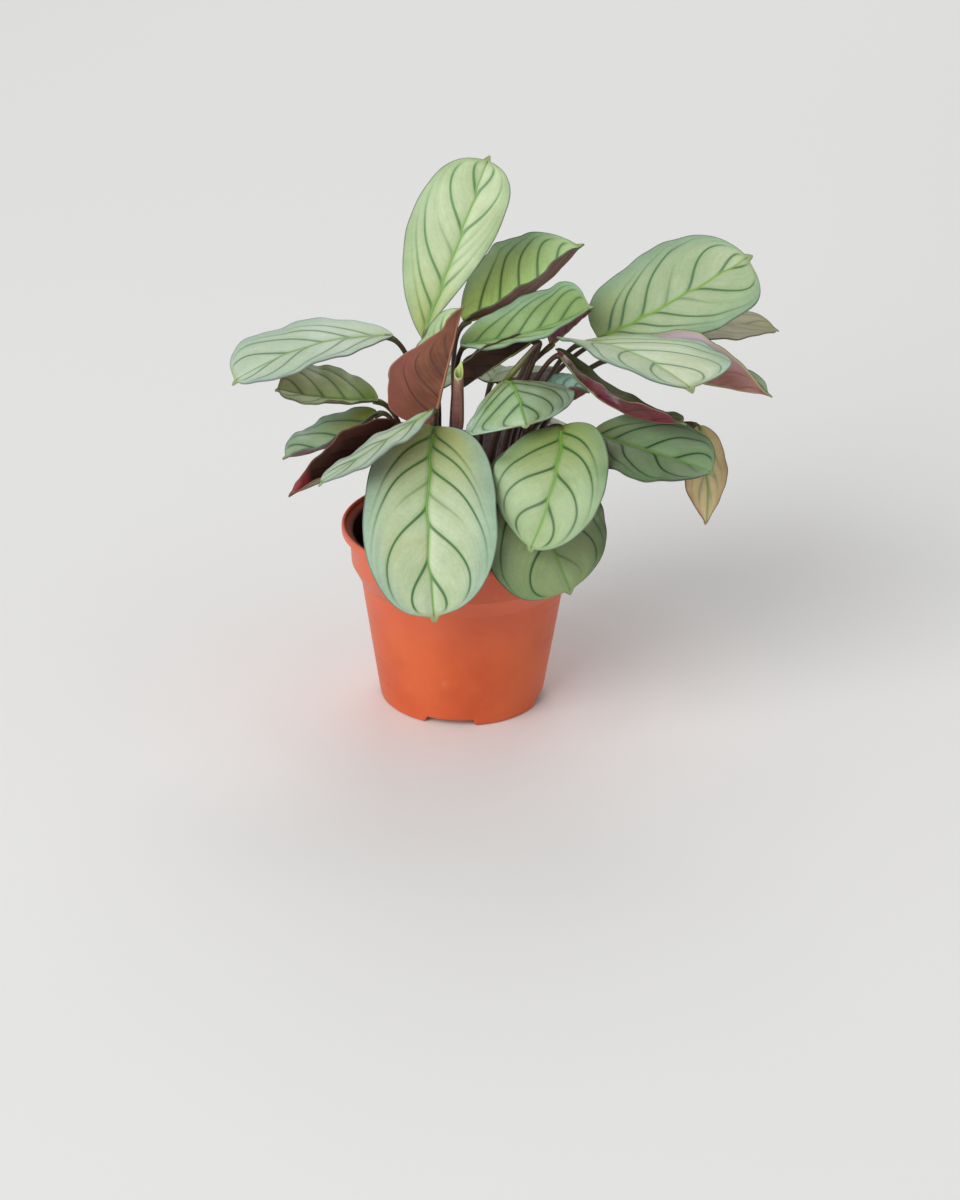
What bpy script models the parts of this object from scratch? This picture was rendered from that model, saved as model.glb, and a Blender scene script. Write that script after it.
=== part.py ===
"""A young ctenanthe in a small moulded nursery pot.

Every leaf is one solid: a curved blade of even thickness, joined to its round stalk.
The stalks stand in plain holes in the soil, and the soil fills the pot.
Sizes in this file are millimetres, measured from the pot's axis and from its foot.
+Z is up, and -Y is the side that the plant is seen from.
"""

from dataclasses import dataclass
from math import cos, pi, radians, sin

import bmesh
import bpy
import numpy as np

MM = 0.001

# Pot
RIM_RADIUS = 30.0
RIM_HEIGHT = 46.0
BEAD = 0.45
BAND_RADIUS = 28.0
BAND_LOW_RADIUS = 27.6
BAND_TOP = 44.0
BAND_BOTTOM = 36.1
STEP_RADIUS = 25.2
STEP_BOTTOM = 31.3
FOOT_RADIUS = 20.5
WALL = 0.9
FOOT_WIDTH = 1.5
FLOOR_LOW = 1.8
FLOOR_TOP = 2.9
NOTCH_COUNT = 4
NOTCH_WIDTH = 12.4
NOTCH_HEIGHT = 1.4
NOTCH_FIRST_ANGLE = -98.0
DRAIN_COUNT = 6
DRAIN_RADIUS = 2.2
DRAIN_CIRCLE = 11.5
DRAIN_SIDES = 12
DRAIN_CUTTER = 6.0
NOTCH_CUTTER = 8.0
POT_SIDES = 48
RIM_POINTS = 5

# Pot, small steps of its profile, above or out from the sizes over them
LIP_INNER_EDGE = 1.0
LIP_OUTER_EDGE = 0.5
LIP_CREASE = 0.2
LIP_UNDERCUT = (0.2, 0.15)
WALL_CREASE = 0.3
FLOOR_CORNER = 0.8
FOOT_EDGE = (0.1, 0.5)
FOOT_CHAMFER = 0.2

# Soil, where a fall is the distance in or out and the drop from the top
SOIL_TOP = 38.0
SOIL_DOME = 0.4
SOIL_FLAT_RADIUS = 14.0
SOIL_FALL = (22.0, 0.4)
SOIL_EDGE = (0.4, 0.9)
SOIL_STEP = 0.5
SOIL_CORNER = 1.0
SOIL_SIDES = 32
HOLE_MARGIN = 0.1
HOLE_SIDES = 8
GAP = 0.3
STALK_DEPTH = 8.0

# Leaves, with places along the midrib and widths given as shares from 0 to 1
BLADE = 0.64
STALK_RADIUS = 0.75
STALK_SINK = 0.25
STALK_STEPS = 7
STALK_JOINS = 0.05
BLADE_START = 0.012
POINT_START = 0.955
BLADE_END = 0.998
BODY_END = 0.965
ROUNDNESS = 2.1
POINT_WIDTH = 0.16
POINT_LENGTH = 0.14
POINT_FROM = 0.6
NARROWEST = 0.35
OPEN_WIDTH = 3.0
OPEN_SHARE = 0.35
RIGHT_WAVE_SHIFT = 1.3
STRAIGHT = 1e-6

# The pot's axis, from the middle of the whole plant
AXIS_X = -10.3
AXIS_Y = -3.4

COLLECTION = "potted_ctenanthe"
CUTTERS = "cutters"
MERGE = 0.00001
SHARP_ANGLE = 40.0


@dataclass(frozen=True)
class Finish:
    """A plain colour with its roughness."""

    colour: tuple
    roughness: float


SILVER_GREEN = Finish((0.36, 0.46, 0.25), 0.45)
BLUE_GREEN = Finish((0.22, 0.36, 0.27), 0.45)
FRESH_GREEN = Finish((0.34, 0.47, 0.16), 0.42)
OLIVE = Finish((0.34, 0.33, 0.17), 0.5)
YELLOW = Finish((0.55, 0.44, 0.12), 0.55)
MAROON = Finish((0.16, 0.045, 0.05), 0.4)
ROSE = Finish((0.42, 0.25, 0.28), 0.5)
TERRACOTTA = Finish((0.56, 0.17, 0.075), 0.42)
EARTH = Finish((0.022, 0.013, 0.009), 0.95)


@dataclass(frozen=True)
class Leaf:
    """One leaf. Left and right are as seen along the midrib from base to tip, top face up."""

    name: str
    finish: Finish
    base: tuple
    tip: tuple
    root: tuple
    left: float = 13.0
    right: float = 13.0
    bow: float = 0.0
    sway: float = 0.0
    roll: float = 0.0
    fold_left: tuple = (8.0, 8.0)
    fold_right: tuple = (8.0, 8.0)
    curl_left: float = -10.0
    curl_right: float = -10.0
    widest: tuple = (0.5, 0.5)
    base_power: tuple = (0.55, 0.55)
    tip_power: tuple = (0.5, 0.5)
    wave: float = 0.5
    waves: float = 2.5
    rise: float = 18.0
    reach: float = 8.0
    arch: tuple = ()
    rows: int = 11
    columns: int = 6


LEAVES = [
    Leaf("leaf_tall", FRESH_GREEN, (-10.5, 10, 89.5), (5, 22, 132), (-5, 10),
         left=13, right=8.5, bow=2.5, sway=0.5, roll=40, fold_left=(6, 6), fold_right=(6, 6),
         widest=(0.6, 0.8), base_power=(0.85, 1.6), tip_power=(0.4, 0.45), rise=30),
    Leaf("leaf_upper_middle", SILVER_GREEN, (-1, 18, 91.5), (28, 26, 109.5), (-1, 13),
         left=15.5, right=7.5, bow=-3.5, fold_left=(48, 48), fold_right=(42, 42), curl_right=0,
         widest=(0.55, 0.6), rise=30),
    Leaf("leaf_crown", BLUE_GREEN, (-1.5, 5, 90), (30, 3, 101), (-3, 8),
         left=11.5, right=10, fold_left=(25, 25), fold_right=(0, 0), curl_left=-5,
         widest=(0.75, 0.5), tip_power=(0.35, 0.5), reach=4, rise=30),
    Leaf("leaf_upper_right", SILVER_GREEN, (32, 13, 89), (69, 20, 109), (9, 10),
         left=16, right=14.5, bow=-1, roll=30, fold_left=(10, 10),
         widest=(0.6, 0.85), base_power=(0.3, 0.7), tip_power=(0.6, 0.35), rise=38),
    Leaf("leaf_right_back", OLIVE, (43, 22, 85), (78, 28, 87.5), (8, 14),
         left=12, right=13, bow=3, rise=38, rows=10, columns=4),
    Leaf("leaf_right_broad", SILVER_GREEN, (27, 5.5, 91), (52, -30, 92), (12.5, 7.5),
         left=20, right=15, bow=3, fold_left=(-5, -5), fold_right=(18, 10), curl_right=0,
         widest=(0.72, 0.55), base_power=(0.7, 0.42), rise=36),
    Leaf("leaf_right_folded", ROSE, (35.5, 8, 86.5), (74.5, 5, 78.5), (13.5, 10.5),
         left=8, right=14, bow=-1, fold_left=(35, 35), fold_right=(85, 85),
         widest=(0.5, 0.35), base_power=(0.55, 0.8), tip_power=(0.35, 1.3), rise=30),
    Leaf("leaf_right_sagging", MAROON, (21.5, 2, 90.5), (51.5, -21, 81), (9, 4.5),
         left=8, right=8, bow=-6, fold_left=(5, 5), fold_right=(55, 55),
         widest=(0.65, 0.5), reach=3, rise=36),
    Leaf("leaf_right_low", SILVER_GREEN, (30, -8, 72.5), (58.5, -24, 69.5), (11, -5),
         left=12.5, right=14, bow=0.5, fold_left=(25, 25), fold_right=(0, 0)),
    Leaf("leaf_yellowing", YELLOW, (56, -6, 74.5), (58.5, -12, 51), (14, -1),
         left=5.5, right=6, bow=2, rows=8, columns=4),
    Leaf("leaf_centre_low", SILVER_GREEN, (23, -13, 76.5), (15.5, -33, 52.5), (8, -6),
         left=12.8, right=14.7, bow=4.5, sway=-3,
         base_power=(0.4, 0.4), tip_power=(0.6, 0.6), rise=30),
    Leaf("leaf_front_middle", SILVER_GREEN, (12, -10, 69.5), (26, -30, 40.5), (3, -11),
         left=16.5, right=16, bow=3, sway=2, fold_right=(-10, -10),
         widest=(0.6, 0.72), tip_power=(0.5, 0.35), rise=12),
    Leaf("leaf_front_left", FRESH_GREEN, (-7, -13, 76), (-6, -42.5, 38.5), (-3, -8),
         left=16.2, right=15, bow=5, sway=1.7,
         widest=(0.55, 0.55), base_power=(0.33, 0.33), tip_power=(0.42, 0.42), rows=12),
    Leaf("leaf_centre_crown", BLUE_GREEN, (9, -1, 83), (14.5, -21, 79), (7, 1),
         left=14, right=16, bow=4, fold_left=(-5, -5), fold_right=(-32, -32), curl_right=-20,
         widest=(0.45, 0.75), rise=44, arch=(20, 4, 24)),
    Leaf("leaf_centre_small", BLUE_GREEN, (19.5, -1, 75), (29.5, -1, 81), (5.5, -3),
         left=8, right=5, fold_left=(50, 50), fold_right=(60, 60), reach=4,
         wave=0.2, rows=7, columns=4),
    Leaf("leaf_centre_shaded", MAROON, (16.5, 6, 91.5), (-2, 1.5, 79.5), (4, 7),
         left=7, right=6, fold_left=(75, 75), fold_right=(50, 50), widest=(0.7, 0.6),
         rise=36, wave=0.3, rows=8, columns=4),
    Leaf("leaf_upright_folded", MAROON, (-8, -4, 72), (-1, 0, 101.5), (-6, -3),
         left=10, right=13, roll=-48, fold_left=(70, 70), fold_right=(75, 75),
         curl_left=0, curl_right=0, widest=(0.4, 0.31), base_power=(0.5, 0.25),
         tip_power=(0.5, 2.2)),
    Leaf("leaf_left_long", SILVER_GREEN, (-17.5, 8, 91), (-56, -4, 82.5), (-9, 9),
         left=12.5, right=13.5, bow=3.5, fold_left=(0, 0), curl_left=0, curl_right=0,
         widest=(0.6, 0.78), base_power=(0.9, 0.55), tip_power=(0.5, 0.3), rise=30),
    Leaf("leaf_left_middle", SILVER_GREEN, (-21, 4, 76), (-44.5, 0, 77.5), (-12, 4),
         left=9, right=13, bow=-1, fold_left=(30, 30), fold_right=(28, 28),
         widest=(0.5, 0.6), tip_power=(0.5, 0.3)),
    Leaf("leaf_left_low", BLUE_GREEN, (-21, 1, 74), (-43.5, -8, 65.5), (-13, 0),
         left=8, right=10, bow=-2.5, fold_left=(36, 36), fold_right=(18, 18), rows=10),
    Leaf("leaf_left_dark", MAROON, (-15.5, -5, 73.5), (-41.5, -18, 60), (-12, -3),
         left=9, right=9, bow=-2.5, fold_left=(40, 40), fold_right=(105, 95),
         widest=(0.4, 0.4), tip_power=(0.9, 0.8), rows=10),
    Leaf("leaf_left_narrow", SILVER_GREEN, (-9, -15, 80.5), (-33.5, -32, 68.5), (-10, -7),
         left=9, right=6, roll=14, fold_left=(0, 0), fold_right=(0, 0),
         curl_left=0, curl_right=0, reach=6, rise=36, rows=10, columns=4),
    Leaf("leaf_narrow_folded", ROSE, (20.5, 12, 88), (30.5, 13, 97), (5.5, 12),
         left=5, right=5, fold_left=(60, 60), fold_right=(60, 60),
         curl_left=0, curl_right=0, rise=38, wave=0.0, rows=7, columns=4),
    Leaf("leaf_back_left_high", SILVER_GREEN, (-7, 17, 74), (-15, 48, 60), (-7, 14),
         left=12, right=11, bow=6, rows=10),
    Leaf("leaf_back_right_high", FRESH_GREEN, (6, 17, 76), (14, 50, 60), (3, 16),
         left=11, right=12, bow=6, rows=10),
    Leaf("leaf_back_middle_low", BLUE_GREEN, (2, 19, 62), (2, 44, 34), (2, 18.5),
         left=10, right=11, bow=6, rise=10, rows=10),
    Leaf("leaf_back_right_low", SILVER_GREEN, (18, 16, 62), (36, 38, 46), (14, 14),
         left=11, right=12, bow=6, rise=12, rows=10),
    Leaf("leaf_back_left_low", SILVER_GREEN, (-14, 14, 60), (-28, 38, 42), (-11, 14),
         left=12, right=11, bow=6, rise=8, rows=10),
]

# The newest leaf, still rolled up in a slim spear
SPEAR_ROOT = (-1.5, -5.0)
SPEAR_LOW = (-1.5, -7.5, 73.5)
SPEAR_TIP = (-1.5, -6.0, 88.0)
SPEAR_RADIUS = 1.35
SPEAR_PLACES = (0.0, 0.12, 0.35, 0.6, 0.8, 0.93, 1.0)
SPEAR_SWELL = (0.75, 0.95, 1.0, 0.9, 0.7, 0.45, 0.2)


def clear_scene():
    """Remove whatever the file opened with."""
    for item in list(bpy.data.objects):
        bpy.data.objects.remove(item, do_unlink=True)


def make_collection(name):
    """Return a new collection in the scene."""
    collection = bpy.data.collections.new(name)
    bpy.context.scene.collection.children.link(collection)
    return collection


def make_material(name, finish):
    """Return a Principled material with the finish's colour and roughness."""
    material = bpy.data.materials.new(name)
    material.use_nodes = True
    shader = material.node_tree.nodes["Principled BSDF"]
    shader.inputs["Base Color"].default_value = (*finish.colour, 1.0)
    shader.inputs["Roughness"].default_value = finish.roughness
    shader.inputs["Metallic"].default_value = 0.0
    return material


def make_object(name, mesh, collection, parent, place=(0.0, 0.0, 0.0)):
    """Put a mesh or curve in the scene, at a place in millimetres from the pot's axis."""
    item = bpy.data.objects.new(name, mesh)
    collection.objects.link(item)
    item.parent = parent
    item.location = tuple(value * MM for value in place)
    return item


def mark_cutter(item):
    """Keep a cutter or a joined stalk out of renders."""
    item.hide_render = True
    item.display_type = "WIRE"


def unit(vector):
    """Return the vector at length 1."""
    return vector / np.linalg.norm(vector)


def leaf_axes(leaf):
    """Return the directions out of the leaf's top face and to its right."""
    along = unit(np.subtract(leaf.tip, leaf.base))
    up = unit(np.array((0.0, 0.0, 1.0)) - along[2] * along)
    side = np.cross(along, up)
    roll = radians(leaf.roll)
    return cos(roll) * up + sin(roll) * side, cos(roll) * side - sin(roll) * up


def midrib(leaf, s):
    """Return the midrib's point, direction, top normal and right side at s, from 0 to 1."""
    normal, side = leaf_axes(leaf)
    base, tip = np.array(leaf.base, float), np.array(leaf.tip, float)
    middle = (base + tip) / 2 + 2 * leaf.bow * normal + 2 * leaf.sway * side
    point = (1 - s) ** 2 * base + 2 * s * (1 - s) * middle + s ** 2 * tip
    along = unit(2 * (1 - s) * (middle - base) + 2 * s * (tip - middle))
    normal = unit(normal - np.dot(normal, along) * along)
    return point, along, normal, np.cross(along, normal)


def half_width(leaf, s, side):
    """Return the blade's width on one side of the midrib, with a small drawn-out tip."""
    index = 0 if side < 0 else 1
    width = leaf.left if side < 0 else leaf.right
    widest = leaf.widest[index]
    body = min(s / BODY_END, 1.0)
    if body < widest:
        away, power = (widest - body) / widest, leaf.base_power[index]
    else:
        away, power = (body - widest) / (1 - widest), leaf.tip_power[index]
    full = width * max(1 - away ** ROUNDNESS, 0.0) ** power
    point = 0.0
    if s > POINT_FROM:
        point = POINT_WIDTH * width * min((1 - s) / POINT_LENGTH, 1.0)
    return max((full ** 3 + point ** 3) ** (1 / 3), NARROWEST)


def blade_point(leaf, s, t):
    """Return a point of the blade, with s along the midrib and t from -1 to 1 across it."""
    point, _, normal, right = midrib(leaf, s)
    side = -1.0 if t < 0 else 1.0
    width = leaf.left if t < 0 else leaf.right
    folds = leaf.fold_left if t < 0 else leaf.fold_right
    reach = half_width(leaf, s, side)
    opened = min(OPEN_SHARE + (1 - OPEN_SHARE) * reach / OPEN_WIDTH, 1.0)
    fold = radians(folds[0] + (folds[1] - folds[0]) * s) * opened
    bend = radians(leaf.curl_left if t < 0 else leaf.curl_right) / width
    out = abs(t) * reach
    if abs(bend) < STRAIGHT:
        across, height = out * cos(fold), out * sin(fold)
    else:
        across = (sin(fold + bend * out) - sin(fold)) / bend
        height = (cos(fold) - cos(fold + bend * out)) / bend
    phase = 0.0 if t < 0 else RIGHT_WAVE_SHIFT
    height += leaf.wave * (out / width) ** 2 * sin(2 * pi * leaf.waves * s + phase)
    return point + side * across * right + height * normal


def row_place(index, rows):
    """Space the rows of a blade closer together at its ends, with the last one at its point."""
    if index == rows:
        return BLADE_END
    share = index / (rows - 1)
    eased = 0.5 * share + 0.25 * (1 - cos(pi * share))
    return BLADE_START + (POINT_START - BLADE_START) * eased


def blade_mesh(leaf):
    """Return the blade's middle surface in triangles, measured from the foot of its stalk."""
    origin = np.array((*leaf.root, SOIL_TOP))
    bm = bmesh.new()
    bmesh.ops.create_grid(bm, x_segments=leaf.rows, y_segments=leaf.columns, size=0.5)
    for vertex in bm.verts:
        row = round((vertex.co.x + 0.5) * leaf.rows)
        point = blade_point(leaf, row_place(row, leaf.rows), 2 * vertex.co.y)
        vertex.co = (point - origin) * MM
    bmesh.ops.triangulate(bm, faces=bm.faces[:], quad_method="BEAUTY")
    bmesh.ops.recalc_face_normals(bm, faces=bm.faces[:])
    mesh = bpy.data.meshes.new(leaf.name)
    bm.to_mesh(mesh)
    bm.free()
    return mesh


def stalk_points(leaf):
    """Return points up the stalk, straight in the soil and then on one smooth curve."""
    start, along, normal, _ = midrib(leaf, STALK_JOINS)
    end = start - STALK_SINK * normal
    root = np.array((*leaf.root, SOIL_TOP))
    first = root + np.array((0.0, 0.0, leaf.rise))
    last = end + np.array(leaf.arch) if leaf.arch else end - leaf.reach * along
    points = [root - np.array((0.0, 0.0, STALK_DEPTH))]
    for step in range(STALK_STEPS + 1):
        u = step / STALK_STEPS
        points.append((1 - u) ** 3 * root + 3 * u * (1 - u) ** 2 * first
                      + 3 * u ** 2 * (1 - u) * last + u ** 3 * end)
    return points


def tube_object(name, points, radii, origin, collection, parent):
    """Return a six-sided tube along points in millimetres, as a closed mesh."""
    curve = bpy.data.curves.new(name, "CURVE")
    curve.dimensions = "3D"
    curve.bevel_depth = MM
    curve.bevel_resolution = 1
    curve.use_fill_caps = True
    spline = curve.splines.new("POLY")
    spline.points.add(len(points) - 1)
    for target, point, radius in zip(spline.points, points, radii):
        target.co = (*((np.array(point) - np.array(origin)) * MM), 1.0)
        target.radius = radius
    guide = make_object(name + "_curve", curve, collection, parent, origin)
    bpy.context.view_layer.update()
    evaluated = guide.evaluated_get(bpy.context.evaluated_depsgraph_get())
    mesh = bpy.data.meshes.new_from_object(evaluated)
    mesh.name = name
    bpy.data.objects.remove(guide, do_unlink=True)
    bm = bmesh.new()
    bm.from_mesh(mesh)
    bmesh.ops.remove_doubles(bm, verts=bm.verts[:], dist=MERGE)
    bmesh.ops.recalc_face_normals(bm, faces=bm.faces[:])
    bm.to_mesh(mesh)
    bm.free()
    return make_object(name, mesh, collection, parent, origin)


def add_boolean(item, cutter, operation):
    """Join a solid to an object, or cut it away."""
    modifier = item.modifiers.new(operation.lower(), "BOOLEAN")
    modifier.operation = operation
    modifier.object = cutter
    modifier.solver = "EXACT"


def smooth(mesh):
    """Shade a mesh smooth, except at its sharp edges."""
    mesh.shade_smooth()
    mesh.set_sharp_from_angle(angle=radians(SHARP_ANGLE))


def build_leaf(leaf, parts, cutters, parent):
    """Build one leaf: its blade with its thickness, joined to its stalk."""
    origin = (*leaf.root, SOIL_TOP)
    item = make_object(leaf.name, blade_mesh(leaf), parts, parent, origin)
    item.data.materials.append(make_material(leaf.name, leaf.finish))
    smooth(item.data)
    shell = item.modifiers.new("thickness", "SOLIDIFY")
    shell.thickness = BLADE * MM
    shell.offset = 0.0
    shell.use_even_offset = True
    points = stalk_points(leaf)
    radii = [STALK_RADIUS] * len(points)
    stalk = tube_object(leaf.name + "_stalk", points, radii, origin, cutters, parent)
    mark_cutter(stalk)
    add_boolean(item, stalk, "UNION")


def build_spear(parts, parent):
    """Build the rolled new leaf, a slim spear on a stalk of its own."""
    root = np.array((*SPEAR_ROOT, SOIL_TOP))
    low, tip = np.array(SPEAR_LOW), np.array(SPEAR_TIP)
    points = [root - np.array((0.0, 0.0, STALK_DEPTH)), root, (2 * root + low) / 3,
              (root + 2 * low) / 3]
    radii = [STALK_RADIUS] * len(points)
    points += [low + (tip - low) * place for place in SPEAR_PLACES]
    radii += [SPEAR_RADIUS * swell for swell in SPEAR_SWELL]
    spear = tube_object("leaf_spear", points, radii, tuple(root), parts, parent)
    spear.data.materials.append(make_material("leaf_spear", ROSE))
    smooth(spear.data)


def turned_object(name, profile, sides, parts, parent):
    """Return a solid turned round the pot's axis from (radius, height) pairs."""
    mesh = bpy.data.meshes.new(name)
    points = [(radius * MM, 0.0, height * MM) for radius, height in profile]
    edges = [(index, index + 1) for index in range(len(points) - 1)]
    mesh.from_pydata(points, edges, [])
    item = make_object(name, mesh, parts, parent)
    turn = item.modifiers.new("turn", "SCREW")
    turn.axis = "Z"
    turn.angle = 2 * pi
    turn.steps = sides
    turn.render_steps = sides
    turn.use_merge_vertices = True
    turn.merge_threshold = MERGE
    turn.use_smooth_shade = True
    return item


def wall_radius(height):
    """Return the pot's outer radius at a height below its band."""
    return FOOT_RADIUS + (STEP_RADIUS - FOOT_RADIUS) * height / STEP_BOTTOM


def bead_points():
    """Return the rounded top of the rim, from inside to outside."""
    points = []
    for step in range(RIM_POINTS):
        angle = pi - pi * step / (RIM_POINTS - 1)
        points.append((RIM_RADIUS - BEAD + BEAD * cos(angle), RIM_HEIGHT - BEAD + BEAD * sin(angle)))
    return points


def build_pot(parts, cutters, parent):
    """Build the pot, with a stepped band, a raised floor, drain holes and a notched foot."""
    floor_radius = wall_radius(FLOOR_TOP) - WALL
    inside = [(0.0, FLOOR_TOP), (floor_radius - FLOOR_CORNER, FLOOR_TOP),
              (floor_radius, FLOOR_TOP + FLOOR_CORNER),
              (STEP_RADIUS - WALL, STEP_BOTTOM + WALL_CREASE),
              (BAND_LOW_RADIUS - WALL, BAND_BOTTOM + WALL_CREASE),
              (BAND_RADIUS - WALL, BAND_TOP + LIP_CREASE),
              (RIM_RADIUS - 2 * BEAD, BAND_TOP + LIP_INNER_EDGE)]
    outside = [(RIM_RADIUS, BAND_TOP + LIP_OUTER_EDGE),
               (RIM_RADIUS - LIP_UNDERCUT[0], BAND_TOP + LIP_UNDERCUT[1]),
               (BAND_RADIUS, BAND_TOP), (BAND_LOW_RADIUS, BAND_BOTTOM),
               (STEP_RADIUS, STEP_BOTTOM), (FOOT_RADIUS + FOOT_EDGE[0], FOOT_EDGE[1]),
               (FOOT_RADIUS - FOOT_CHAMFER, 0.0), (FOOT_RADIUS - FOOT_WIDTH, 0.0),
               (FOOT_RADIUS - FOOT_WIDTH, FLOOR_LOW), (0.0, FLOOR_LOW)]
    pot = turned_object("pot", inside + bead_points() + outside, POT_SIDES, parts, parent)
    pot.data.materials.append(make_material("pot", TERRACOTTA))

    bm = bmesh.new()
    for index in range(NOTCH_COUNT):
        angle = radians(NOTCH_FIRST_ANGLE) + 2 * pi * index / NOTCH_COUNT
        made = bmesh.ops.create_cube(bm, size=MM)
        size = (NOTCH_CUTTER, NOTCH_WIDTH, 2 * NOTCH_HEIGHT)
        bmesh.ops.scale(bm, vec=size, verts=made["verts"])
        bmesh.ops.translate(bm, vec=(FOOT_RADIUS * MM, 0.0, 0.0), verts=made["verts"])
        turn = [vertex.co.copy() for vertex in made["verts"]]
        for vertex, old in zip(made["verts"], turn):
            vertex.co.x = old.x * cos(angle) - old.y * sin(angle)
            vertex.co.y = old.x * sin(angle) + old.y * cos(angle)
    for index in range(DRAIN_COUNT):
        angle = 2 * pi * (index + 0.5) / DRAIN_COUNT
        made = bmesh.ops.create_cone(bm, cap_ends=True, segments=DRAIN_SIDES,
                                     depth=DRAIN_CUTTER * MM, radius1=DRAIN_RADIUS * MM,
                                     radius2=DRAIN_RADIUS * MM)
        spot = (DRAIN_CIRCLE * cos(angle) * MM, DRAIN_CIRCLE * sin(angle) * MM,
                (FLOOR_LOW + FLOOR_TOP) / 2 * MM)
        bmesh.ops.translate(bm, vec=spot, verts=made["verts"])
    mesh = bpy.data.meshes.new("pot_cuts")
    bm.to_mesh(mesh)
    bm.free()
    cuts = make_object("pot_cuts", mesh, cutters, parent)
    mark_cutter(cuts)
    add_boolean(pot, cuts, "DIFFERENCE")


def build_soil(parts, cutters, parent):
    """Build the soil that fills the pot, with a plain hole for each stalk."""
    low = FLOOR_TOP + GAP
    inner = WALL + GAP
    profile = [(0.0, SOIL_TOP + SOIL_DOME), (SOIL_FLAT_RADIUS, SOIL_TOP),
               (SOIL_FALL[0], SOIL_TOP - SOIL_FALL[1]),
               (BAND_LOW_RADIUS - inner - SOIL_EDGE[0], SOIL_TOP - SOIL_EDGE[1]),
               (BAND_LOW_RADIUS - inner, BAND_BOTTOM + SOIL_STEP),
               (STEP_RADIUS - inner, STEP_BOTTOM + SOIL_STEP),
               (wall_radius(low) - inner, low + SOIL_CORNER),
               (wall_radius(low) - inner - SOIL_CORNER, low), (0.0, low)]
    soil = turned_object("soil", profile, SOIL_SIDES, parts, parent)
    soil.data.materials.append(make_material("soil", EARTH))

    bm = bmesh.new()
    radius = (STALK_RADIUS + GAP + HOLE_MARGIN) * MM
    depth = 2 * (STALK_DEPTH + GAP)
    for root in [leaf.root for leaf in LEAVES] + [SPEAR_ROOT]:
        made = bmesh.ops.create_cone(bm, cap_ends=True, segments=HOLE_SIDES, depth=depth * MM,
                                     radius1=radius, radius2=radius)
        bmesh.ops.translate(bm, vec=(root[0] * MM, root[1] * MM, SOIL_TOP * MM),
                            verts=made["verts"])
    mesh = bpy.data.meshes.new("soil_holes")
    bm.to_mesh(mesh)
    bm.free()
    holes = make_object("soil_holes", mesh, cutters, parent)
    mark_cutter(holes)
    add_boolean(soil, holes, "DIFFERENCE")


def main():
    """Build the whole plant."""
    clear_scene()
    parts = make_collection(COLLECTION)
    cutters = make_collection(CUTTERS)
    axis = make_object("plant_axis", None, parts, None, (AXIS_X, AXIS_Y, 0.0))
    build_pot(parts, cutters, axis)
    build_soil(parts, cutters, axis)
    for leaf in LEAVES:
        build_leaf(leaf, parts, cutters, axis)
    build_spear(parts, axis)
    bpy.context.view_layer.update()


main()
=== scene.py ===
"""The looks of a young ctenanthe in a small moulded nursery pot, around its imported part.

Each leaf's node is replaced by two finer pieces: a veined blade, and a stalk that runs on under
the blade as its midrib. The pot, the soil and the rolled new leaf are remodelled in the same way.
Sizes are millimetres from the pot's axis and foot, and metres only where a mesh is made.
"""

import logging
from dataclasses import dataclass, replace
from enum import Enum
from math import atan2, cos, hypot, pi, radians, sin
from typing import Any, Sequence, Union

import bmesh
import bpy
import numpy as np
from mathutils import Matrix, Vector, noise


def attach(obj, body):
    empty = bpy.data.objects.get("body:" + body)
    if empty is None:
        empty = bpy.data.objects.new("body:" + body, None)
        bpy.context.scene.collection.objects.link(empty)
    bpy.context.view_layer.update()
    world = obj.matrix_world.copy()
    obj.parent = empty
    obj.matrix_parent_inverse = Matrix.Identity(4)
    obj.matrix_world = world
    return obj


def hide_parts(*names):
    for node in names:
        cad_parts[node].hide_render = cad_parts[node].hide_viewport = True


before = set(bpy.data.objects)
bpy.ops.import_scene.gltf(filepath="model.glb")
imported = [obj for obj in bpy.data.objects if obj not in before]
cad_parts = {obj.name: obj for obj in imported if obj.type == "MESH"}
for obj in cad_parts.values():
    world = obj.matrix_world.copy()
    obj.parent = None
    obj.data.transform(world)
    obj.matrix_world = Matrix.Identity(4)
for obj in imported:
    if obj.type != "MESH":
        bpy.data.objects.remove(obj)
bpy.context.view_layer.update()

LOG = logging.getLogger("ctenanthe")

MM = 0.001

# The pot's axis, from the middle of the whole plant
AXIS_X = -10.3
AXIS_Y = -3.4

Colour = tuple[float, float, float]
Number = Union[float, "Value"]


class Slot(Enum):
    """The record's material slots."""

    SILVER_GREEN = "leaf_silver_green"
    FRESH_GREEN = "leaf_fresh_green"
    BLUE_GREEN = "leaf_blue_green"
    OLIVE = "leaf_olive"
    YELLOW = "leaf_yellow"
    MAROON = "leaf_maroon"
    ROSE = "leaf_rose"
    TERRACOTTA = "terracotta_plastic"
    SOIL = "soil"


class Domain(Enum):
    """What each of a mesh's numbers belongs to."""

    POINT = "POINT"
    CORNER = "CORNER"


def seen(red: int, green: int, blue: int) -> Colour:
    """Turn a colour as the eye sees it, from 0 to 255, into the light that it sends back."""
    return tuple(((c / 255 + 0.055) / 1.055) ** 2.4 if c > 10 else c / 255 / 12.92
                 for c in (red, green, blue))


def ease(share: Any) -> Any:
    """Return a share from 0 to 1, or many, with a soft start and a soft end."""
    return share * share * (3 - 2 * share)


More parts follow.
